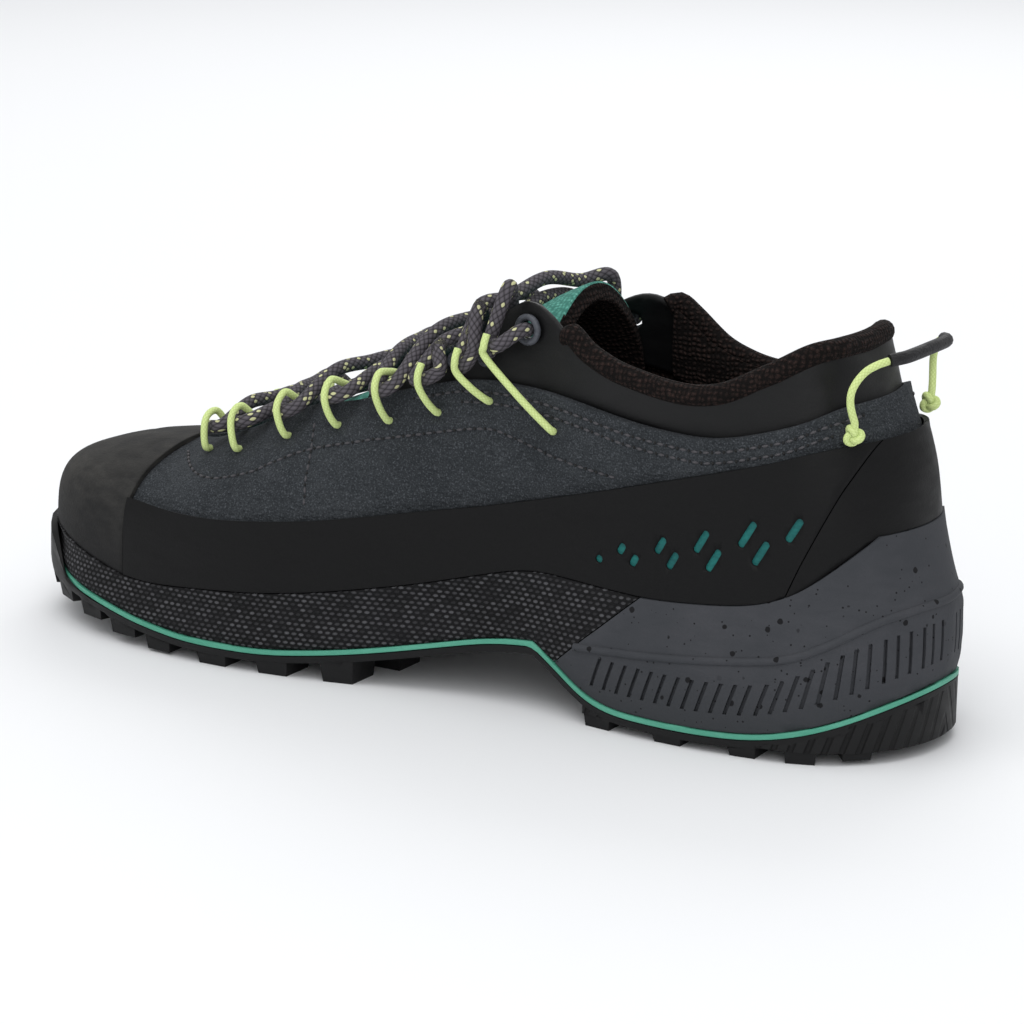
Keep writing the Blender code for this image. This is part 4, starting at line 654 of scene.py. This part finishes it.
def smooth_copy(node, levels=2, sharp=34.0, crease=1.0):
    """A merged, quad copy of a CAD node, subdivided; edges bent by more than sharp are creased."""
    bm = bmesh.new()
    bm.from_mesh(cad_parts[node].data)
    bmesh.ops.remove_doubles(bm, verts=bm.verts, dist=1e-6)
    bmesh.ops.join_triangles(
        bm, faces=bm.faces, angle_face_threshold=0.7, angle_shape_threshold=3.14,
        cmp_seam=False, cmp_sharp=False, cmp_uvs=False, cmp_vcols=False, cmp_materials=False,
    )
    mark = bm.edges.layers.float.new("crease_edge")
    for edge in bm.edges:
        if len(edge.link_faces) == 2 and edge.calc_face_angle(0.0) > math.radians(sharp):
            edge[mark] = crease
    form = placed("form", mesh_of(bm, node + " form"))
    rounding = form.modifiers.new("round", "SUBSURF")
    rounding.levels = levels
    rounding.render_levels = levels
    return settled(form)


def shade(mesh, angle):
    mesh.shade_smooth()
    mesh.set_sharp_from_angle(angle=math.radians(angle))


def dress(node, name, finish, levels=2, sharp=34.0, crease=1.0, angle=45.0):
    """The rounded copy of a CAD node as a finished piece that stands for it."""
    mesh = smooth_copy(node, levels, sharp, crease)
    shade(mesh, angle)
    return own(name, mesh, finish, (node,))


def corners(mesh, kind="co"):
    """The mesh's points in metres, or its point normals where kind is normal, as rows of three."""
    spots = np.empty(len(mesh.vertices) * 3)
    mesh.vertices.foreach_get(kind, spots)
    return spots.reshape(-1, 3)


def move_corners(mesh, spots):
    """Puts the mesh's points where spots says, in millimetres."""
    mesh.vertices.foreach_set("co", (spots * MM).ravel())
    mesh.update()


def away_from(spots, line):
    """Distance from each spot to a polyline."""
    best = np.full(len(spots), 1e9)
    for first, second in zip(line[:-1], line[1:]):
        start = np.array(first)
        run = np.array(second) - start
        share = np.clip(((spots - start) @ run) / (run @ run), 0.0, 1.0)
        gap = np.linalg.norm(spots - start - share[:, None] * run, axis=1)
        best = np.minimum(best, gap)
    return best


def press(mesh, lines):
    """Presses soft troughs along lines of (points, half width, depth); a depth below 0 is a ridge."""
    spots = corners(mesh) / MM
    normals = corners(mesh, "normal")
    push = np.zeros(len(spots))
    for points, width, depth in lines:
        push -= depth * np.exp(-((away_from(spots, points) / width) ** 2))
    spots += normals * push[:, None]
    move_corners(mesh, spots)


def on_side(side, points):
    """A line of the medial side as it is, or mirrored to the lateral side where side is below 0."""
    if side > 0.0:
        return points
    return tuple((x, 2.0 * MIDDLE - y, z) for x, y, z in points)


def shifted(points, amount):
    """A line moved up by amount."""
    return tuple((x, y, z + amount) for x, y, z in points)


def curve_through(points, step):
    """Points about every step on a smooth curve through the given ones."""
    known = np.array(points, dtype=float)
    padded = np.vstack([2.0 * known[0] - known[1], known, 2.0 * known[-1] - known[-2]])
    found = []
    for a, b, c, d in zip(padded[:-3], padded[1:-2], padded[2:-1], padded[3:]):
        count = max(2, int(np.linalg.norm(c - b) / step))
        for t in np.arange(count) / count:
            found.append(
                0.5 * (2.0 * b + (c - a) * t + (2.0 * a - 5.0 * b + 4.0 * c - d) * t * t
                       + (3.0 * b - a - 3.0 * c + d) * t ** 3)
            )
    found.append(known[-1])
    return np.array(found)


def tube(points, radius, sides=12):
    """A closed round tube along points, with a UV map named run."""
    data = bpy.data.curves.new("run", "CURVE")
    data.dimensions = "3D"
    data.twist_smooth = 8.0
    data.bevel_depth = radius * MM
    data.bevel_resolution = (sides - 4) // 2
    data.use_fill_caps = True
    spline = data.splines.new("POLY")
    spline.points.add(len(points) - 1)
    for point, spot in zip(spline.points, points):
        point.co = (spot[0] * MM, spot[1] * MM, spot[2] * MM, 1.0)
    mesh = settled(placed("run", data))
    mark_run(mesh, np.array(points) * MM)
    mesh.shade_smooth()
    return mesh


def mark_run(mesh, path):
    """Writes metres along the path and turns round it as the UV map run."""
    spots = corners(mesh)
    steps = np.diff(path, axis=0)
    lengths = np.linalg.norm(steps, axis=1)
    starts = np.concatenate([[0.0], np.cumsum(lengths)])
    run = steps / lengths[:, None]
    along = np.empty(len(spots))
    turn = np.empty(len(spots))
    batch = 2000
    for low in range(0, len(spots), batch):
        part = spots[low:low + batch]
        near = np.argmin(((part[:, None, :] - path[None, :, :]) ** 2).sum(2), axis=1)
        near = np.minimum(near, len(run) - 1)
        offset = part - path[near]
        direction = run[near]
        along[low:low + batch] = starts[near] + (offset * direction).sum(1)
        up = np.array([0.0, 0.0, 1.0]) - direction * direction[:, 2:3]
        up /= np.maximum(np.linalg.norm(up, axis=1), 1e-6)[:, None]
        side = np.cross(direction, up)
        angle = np.arctan2((offset * side).sum(1), (offset * up).sum(1))
        turn[low:low + batch] = angle / (2.0 * math.pi)
    layer = mesh.uv_layers.get("run") or mesh.uv_layers.new(name="run")
    for face in mesh.polygons:
        turns = [turn[mesh.loops[index].vertex_index] for index in face.loop_indices]
        for index, value in zip(face.loop_indices, turns):
            if value - turns[0] > 0.5:
                value -= 1.0
            elif value - turns[0] < -0.5:
                value += 1.0
            layer.data[index].uv = (along[mesh.loops[index].vertex_index], value)


def mark_wrap(mesh):
    """Writes metres round the sole's outline and metres up as the UV map wrap."""
    spots = corners(mesh)
    around = np.maximum(np.abs(spots[:, 1] - MIDDLE * MM), 1e-6)
    lengths = spots[:, 0].copy()
    ahead = spots[:, 0] > TOE_BEND
    lengths[ahead] = TOE_BEND + TOE_BEND_RADIUS * np.arctan2(spots[ahead, 0] - TOE_BEND, around[ahead])
    behind = spots[:, 0] < HEEL_BEND
    lengths[behind] = HEEL_BEND - HEEL_BEND_RADIUS * np.arctan2(HEEL_BEND - spots[behind, 0], around[behind])
    layer = mesh.uv_layers.new(name="wrap")
    for loop in mesh.loops:
        layer.data[loop.index].uv = (lengths[loop.vertex_index], spots[loop.vertex_index, 2])


def gathered(meshes):
    """One bmesh out of several meshes, whose UV maps have the same names."""
    bm = bmesh.new()
    for mesh in meshes:
        bm.from_mesh(mesh)
    return bm


def surface_of(mesh):
    """The mesh as a tree for nearest points and rays."""
    bm = gathered([mesh])
    tree = BVHTree.FromBMesh(bm)
    bm.free()
    return tree


def sewn(tree, line, length, radius, lift, skip=0.0):
    """Short stitches of one length along a line, laid on a surface and lifted off it."""
    spots = curve_through(line, 0.5)
    gaps = np.concatenate([[0.0], np.cumsum(np.linalg.norm(np.diff(spots, axis=0), axis=1))])
    bm = bmesh.new()
    for start in np.arange(0.5 * STITCH_PITCH + skip, gaps[-1] - length, STITCH_PITCH):
        ends = []
        for where in (start, start + length):
            spot = Vector([float(np.interp(where, gaps, spots[:, axis])) * MM for axis in range(3)])
            hit, normal, _, _ = tree.find_nearest(spot)
            ends.append(hit + normal * (lift * MM))
        run = ends[1] - ends[0]
        if run.length < 0.3 * length * MM:
            continue
        along = run.normalized()
        up = (normal - along * normal.dot(along)).normalized()
        turn = Matrix((along, up.cross(along), up)).transposed()
        size = Matrix.Diagonal((0.5 * run.length / (radius * MM), 1.0, 0.8, 1.0))
        place = Matrix.Translation(0.5 * (ends[0] + ends[1])) @ turn.to_4x4() @ size
        bmesh.ops.create_uvsphere(bm, u_segments=6, v_segments=4, radius=radius * MM, matrix=place)
    mesh = mesh_of(bm, "stitches")
    mesh.shade_smooth()
    return mesh


# The shoe's pieces.

def make_upper():
    mesh = smooth_copy("upper", 3, 62.0)
    lines = []
    for side in SIDES:
        eyestay = on_side(side, EYESTAY_SEAM)
        lines.append((eyestay, 0.9, 0.45))
        lines.append((shifted(eyestay, 1.8), 1.3, -0.28))
        lines.append((on_side(side, VAMP_SEAM), 0.8, 0.4))
        for crease in FLEX_CREASES:
            fold = on_side(side, crease)
            lines.append((fold, 3.2, 0.45))
            lines.append((shifted(fold, 4.6), 3.4, -0.3))
    for edge in (SUEDE_EDGE_MEDIAL, SUEDE_EDGE_LATERAL):
        lines.append((shifted(edge, FIRST_ROW), 0.9, 0.25))
        lines.append((shifted(edge, SECOND_ROW), 0.9, 0.22))
    press(mesh, lines)
    shade(mesh, 50.0)
    line_inside(own("suede_upper", mesh, SUEDE, ("upper",)))
    return mesh


def line_inside(piece, behind=0.0):
    """Gives a wall's inner faces, seen from the foot or from metres behind it, the dark mesh."""
    piece.data.materials.append(COLLAR_MESH)
    for face in piece.data.polygons:
        along = min(max(face.center.x, FOOT_REAR), FOOT_FRONT) - behind
        core = Vector((along, MIDDLE * MM, FOOT_HEIGHT))
        if face.normal.dot(face.center - core) < 0.0:
            face.material_index = 1


def make_stitches(upper):
    tree = surface_of(upper)
    seams = [on_side(side, line) for line in (EYESTAY_SEAM, VAMP_SEAM) for side in SIDES]
    for edge in (SUEDE_EDGE_MEDIAL, SUEDE_EDGE_LATERAL):
        seams += [shifted(edge[2:], FIRST_ROW), shifted(edge[3:], SECOND_ROW)]
    rows, holes = [], []
    for seam in seams:
        rows.append(sewn(tree, seam, STITCH_LENGTH, STITCH_RADIUS, STITCH_LIFT))
        # Dark dots half sunk in the suede between the stitches: painted shade in the needle holes.
        holes.append(sewn(tree, seam, HOLE_LENGTH, HOLE_RADIUS, 0.0, skip=HOLE_START))
    own("suede_stitches", mesh_of(gathered(rows), "joined"), THREAD)
    own("needle_hole_shade", mesh_of(gathered(holes), "joined"), HOLE_SHADE)


def slot_shape(bm, tree, x, z, length, side, width, low, high):
    """A slanted rounded bar standing along the surface's normal, from low to high off it."""
    lean = math.radians(SLOT_LEAN)
    outside = Vector((x * MM, side * 0.08, z * MM))
    hit, normal, _, _ = tree.ray_cast(outside, Vector((0.0, -side, 0.0)))
    run = Vector((-math.cos(lean), 0.0, math.sin(lean)))
    run = (run - normal * run.dot(normal)).normalized()
    turn = Matrix((run, normal.cross(run), normal)).transposed()
    place = Matrix.Translation(hit + normal * (0.5 * (low + high) * MM)) @ turn.to_4x4()
    bar = bmesh.ops.create_cone(
        bm, cap_ends=True, segments=16, radius1=0.5 * width * MM, radius2=0.5 * width * MM,
        depth=(high - low) * MM, matrix=place,
    )["verts"]
    reach = 0.5 * max(length - width, 0.0) * MM
    for vert in bar:
        along = (vert.co - place.translation).dot(run)
        if abs(along) > 1e-5:
            vert.co += run * math.copysign(reach, along)


def slot_bars(name, tree, side, width, low, high):
    """The bars of all slots on one side."""
    bm = bmesh.new()
    for x, z, length in RAND_SLOTS:
        slot_shape(bm, tree, x, z, length, side, width, low, high)
    return mesh_of(bm, name)


def make_rands():
    """The rand on each side with its slots cut in, and the aqua film at their floor."""
    for side, word in zip(SIDES, ("medial", "lateral")):
        node = "rand_" + word
        mesh = smooth_copy(node)
        tree = surface_of(mesh)
        cutter = placed("slot cutter", slot_bars("slot cutter", tree, side, 2.1, -0.8, 1.0))
        film = slot_bars("slot fill", tree, side, 2.3, -1.0, -0.62)
        form = placed("form", mesh)
        cut = form.modifiers.new("slots", "BOOLEAN")
        cut.object = cutter
        cut.solver = "EXACT"
        cut.operation = "DIFFERENCE"
        mesh = settled(form)
        bpy.data.objects.remove(cutter)
        shade(mesh, 40.0)
        own(node + "_panel", mesh, RAND_RUBBER, (node,))
        own(node + "_slots", film, SLOT_FILL)


def make_rubber_parts():
    toe = smooth_copy("toe_cap", 3, 62.0)
    press(toe, [(TOE_SEAM, 0.8, 0.35), (TOE_CREASE, 2.2, 0.3)])
    shade(toe, 50.0)
    own("toe_cap_shell", toe, TOE_RUBBER, ("toe_cap",))
    dress("heel_counter", "heel_counter_shell", RAND_RUBBER)


def make_heel_lip(heel):
    """The rounded ledge along the top of the heel's ribbed band, half sunk in the foam."""
    tree = surface_of(heel)
    line = HEEL_LIP + tuple(reversed(on_side(-1.0, HEEL_LIP)[:-1]))
    path = []
    for spot in curve_through(line, 2.0):
        hit, normal, _, _ = tree.find_nearest(Vector(spot) * MM)
        path.append((hit - normal * (HEEL_LIP_SINK * MM)) / MM)
    for _ in range(3):
        path[1:-1] = [0.25 * a + 0.5 * b + 0.25 * c for a, b, c in zip(path[:-2], path[1:-1], path[2:])]
    own("heel_band_lip", tube(path, HEEL_LIP_RADIUS), HEEL_FOAM)


def make_heel_wall():
    """The tread's wall between the strip and the heel lugs, with slanted grooves."""
    middle = np.array([-88.0, MIDDLE])
    bm = bmesh.new()
    edge = []
    for x, y, z in curve_through(HEEL_WALL, 2.0):
        x, y = (np.array([x, y]) - middle) * HEEL_WALL_SHARE + middle
        edge.append(bm.verts.new((x * MM, y * MM, z * MM)))
    for first, second in zip(edge[:-1], edge[1:]):
        bm.edges.new((first, second))
    lower = bmesh.ops.extrude_edge_only(bm, edges=bm.edges[:])["geom"]
    for vert in (item for item in lower if isinstance(item, bmesh.types.BMVert)):
        x, y, z = vert.co
        vert.co = (x, y, min(z - 0.5 * MM, HEEL_WALL_FOOT * MM))
    bmesh.ops.recalc_face_normals(bm, faces=bm.faces)
    bmesh.ops.solidify(bm, geom=bm.faces[:], thickness=HEEL_WALL_THICKNESS * MM)
    mesh = mesh_of(bm, "heel wall")
    mark_wrap(mesh)
    shade(mesh, 40.0)
    own("heel_tread_wall", mesh, GROOVED_RUBBER)


def make_sole():
    fore = dress("midsole_fore", "woven_midsole", WOVEN_FOAM)
    mark_wrap(fore.data)
    heel = dress("midsole_heel", "heel_midsole", HEEL_FOAM, sharp=30.0, angle=32.0)
    make_heel_lip(heel.data)
    dress("sole_strip", "aqua_strip", STRIP_RUBBER)
    dress("outsole", "tread", TREAD_RUBBER, levels=1, sharp=30.0, angle=32.0)
    make_heel_wall()
    dress("insole", "insole_pad", INSOLE_CLOTH)


def make_collar():
    """The cuff, the lining with its padded edge, and the tongue; returns the cuff."""
    cuff = dress("cuff", "black_cuff", CUFF_FILM, sharp=72.0, crease=0.8)
    lining = smooth_copy("collar_lining", 3, 60.0, 0.5)
    tuck_lining(lining)
    shade(lining, 60.0)
    own("collar_lining_pad", lining, COLLAR_MESH, ("collar_lining",))
    make_collar_roll()
    tongue = dress("tongue", "knit_tongue", TONGUE_KNIT, levels=3, sharp=60.0, crease=0.6, angle=60.0)
    line_inside(tongue, 0.045)
    return cuff


def tuck_lining(mesh):
    """Keeps the lining's edge under the padded edge, also beyond its ends."""
    spots = corners(mesh) / MM
    edge = np.array(COLLAR_EDGE)
    for side in SIDES:
        rim = edge[side * (edge[:, 1] - MIDDLE) > 0.0]
        rim = rim[np.argsort(rim[:, 0])]
        mine = side * (spots[:, 1] - MIDDLE) > 0.0
        limit = np.interp(spots[mine, 0], rim[:, 0], rim[:, 2]) + LINING_RISE
        limit -= 2.0 * np.maximum(spots[mine, 0] - COLLAR_FRONT, 0.0)
        spots[mine, 2] = np.minimum(spots[mine, 2], limit)
    move_corners(mesh, spots)


def make_collar_roll():
    """The padded mesh edge that sits on the cuff's rim."""
    path = curve_through(COLLAR_EDGE, 1.2)
    inward = np.array([-76.0, MIDDLE, 0.0]) - path
    inward[:, 2] = 0.0
    inward /= np.linalg.norm(inward, axis=1)[:, None]
    path = path + inward * COLLAR_INSET + np.array([0.0, 0.0, COLLAR_RISE])
    own("collar_roll", tube(path, COLLAR_RADIUS, 16), COLLAR_MESH)


def make_laces():
    for name, points, node in (("lace_a", LACE_A, "lace_strand_a"), ("lace_b", LACE_B, "lace_strand_b")):
        own(name, tube(curve_through(points, 0.8), LACE_RADIUS), LACE_BRAID, (node,))
    for place, points in LOOPS.items():
        make_cord("cord_loop_" + place, curve_through(points, CORD_STEP), "lace_loop_" + place)


def make_cord(name, path, node):
    own(name, tube(path, CORD_RADIUS, 10), CORD_BRAID, (node,))


def knot_path(centre):
    """An overhand knot as a closed run of points."""
    steps = 72
    found = []
    for index in range(steps + 1):
        t = 2.0 * math.pi * index / steps
        found.append((
            centre[0] + KNOT_RADIUS * (math.cos(t) - 2.0 * math.cos(2.0 * t)) / 3.0,
            centre[1] + KNOT_RADIUS * math.sin(3.0 * t) / 3.0,
            centre[2] + KNOT_RADIUS * (math.sin(t) + 2.0 * math.sin(2.0 * t)) / 3.0,
        ))
    return np.array(found)


def make_pull_loop():
    make_cord("pull_cord_near", curve_through(PULL_CORD_MEDIAL, CORD_STEP), "pull_cord_medial")
    make_cord("pull_cord_far", curve_through(PULL_CORD_LATERAL, CORD_STEP), "pull_cord_lateral")
    sleeve = tube(curve_through(PULL_SLEEVE, CORD_STEP), SLEEVE_RADIUS)
    own("pull_sleeve_wrap", sleeve, SLEEVE_FILM, ("pull_sleeve",))
    make_cord("pull_knot_near", knot_path((-121.4, 24.0, 84.6)), "pull_knot_medial")
    make_cord("pull_knot_far", knot_path((-121.4, -21.4, 84.6)), "pull_knot_lateral")


def ring(centre, normal, radius, wire):
    """A round ring about a point, made by spinning its section of radius wire."""
    axis = Vector(normal).normalized()
    out = axis.orthogonal().normalized()
    middle = Vector(centre) * MM
    bm = bmesh.new()
    facing_round = Matrix((out, axis, axis.cross(out))).transposed().to_4x4()
    place = Matrix.Translation(middle + out * (radius * MM)) @ facing_round
    bmesh.ops.create_circle(bm, segments=12, radius=wire * MM, matrix=place)
    bmesh.ops.spin(
        bm, geom=bm.verts[:] + bm.edges[:], cent=middle, axis=axis, angle=2.0 * math.pi,
        steps=36, use_merge=True,
    )
    bmesh.ops.remove_doubles(bm, verts=bm.verts, dist=1e-6)
    bmesh.ops.recalc_face_normals(bm, faces=bm.faces)
    mesh = mesh_of(bm, "ring")
    mesh.shade_smooth()
    return mesh


def make_eyelets(cuff):
    for name, node, centre, normal in (
        ("eyelet_ring_near", "eyelet_medial", (-30.4, 30.3, 102.0), (0.163, 0.986, 0.028)),
        ("eyelet_ring_far", "eyelet_lateral", (-30.4, -27.6, 95.5), (0.270, -0.938, 0.219)),
    ):
        mesh = ring(centre, normal, EYELET_RADIUS, EYELET_WIRE)
        own(name, mesh, EYELET_METAL, (node,))
    tree = surface_of(cuff.data)
    rings = []
    for side in SIDES:
        for spot in on_side(side, SMALL_RINGS):
            hit, normal, _, _ = tree.find_nearest(Vector(spot) * MM)
            rings.append(ring(hit / MM, normal, SMALL_RING_RADIUS, SMALL_RING_WIRE))
    own("small_rings", mesh_of(gathered(rings), "joined"), EYELET_METAL)


# The studio, in metres.

def make_studio():
    bm = bmesh.new()
    bmesh.ops.create_grid(bm, x_segments=1, y_segments=1, size=6.0)
    floor = placed("floor", mesh_of(bm, "floor"))
    paper, _, shader, _ = start_finish("pale paper")
    shader.inputs["Base Color"].default_value = (0.86, 0.87, 0.885, 1.0)
    shader.inputs["Roughness"].default_value = 0.9
    shader.inputs["Specular IOR Level"].default_value = 0.1
    floor.data.materials.append(paper)
    world = bpy.data.worlds.new("studio")
    bpy.context.scene.world = world
    world.use_nodes = True
    sky = world.node_tree.nodes["Background"]
    sky.inputs["Color"].default_value = (0.985, 0.99, 1.0, 1.0)
    sky.inputs["Strength"].default_value = 0.62
    for name, spot, size, power in (
        ("overhead", (0.1, 0.5, 1.7), 1.6, 14.0),
        ("front", (-0.9, 1.5, 1.0), 1.2, 8.0),
        ("rim", (0.5, -1.3, 1.2), 1.0, 8.0),
    ):
        lamp = bpy.data.lights.new(name, "AREA")
        lamp.shape = "SQUARE"
        lamp.size = size
        lamp.energy = power
        holder = placed(name, lamp)
        holder.location = spot
        aim = Vector((0.0, 0.0, 0.04)) - Vector(spot)
        holder.rotation_euler = aim.to_track_quat("-Z", "Y").to_euler()


def make_camera():
    """A camera one metre from its target, matched to the photo."""
    turn, tilt, roll = (math.radians(angle) for angle in (CAMERA_TURN, CAMERA_TILT, CAMERA_ROLL))
    ahead = Vector((math.sin(turn) * math.cos(tilt), -math.cos(turn) * math.cos(tilt), -math.sin(tilt)))
    right = Vector((-math.cos(turn), -math.sin(turn), 0.0))
    up = right.cross(ahead)
    right, up = math.cos(roll) * right + math.sin(roll) * up, math.cos(roll) * up - math.sin(roll) * right
    lens = bpy.data.cameras.new("camera")
    lens.lens = SENSOR_WIDTH * FOCAL_PIXELS / PICTURE_PIXELS
    lens.sensor_width = SENSOR_WIDTH
    camera = placed("camera", lens)
    axes = Matrix((right, up, -ahead)).transposed()
    camera.matrix_world = Matrix.Translation(Vector(CAMERA_TARGET) - ahead) @ axes.to_4x4()
    bpy.context.scene.camera = camera
    bpy.context.scene.view_settings.view_transform = "Standard"


make_camera()
make_studio()
upper_mesh = make_upper()
make_rubber_parts()
make_rands()
make_stitches(upper_mesh)
make_sole()
cuff_piece = make_collar()
make_laces()
make_pull_loop()
make_eyelets(cuff_piece)
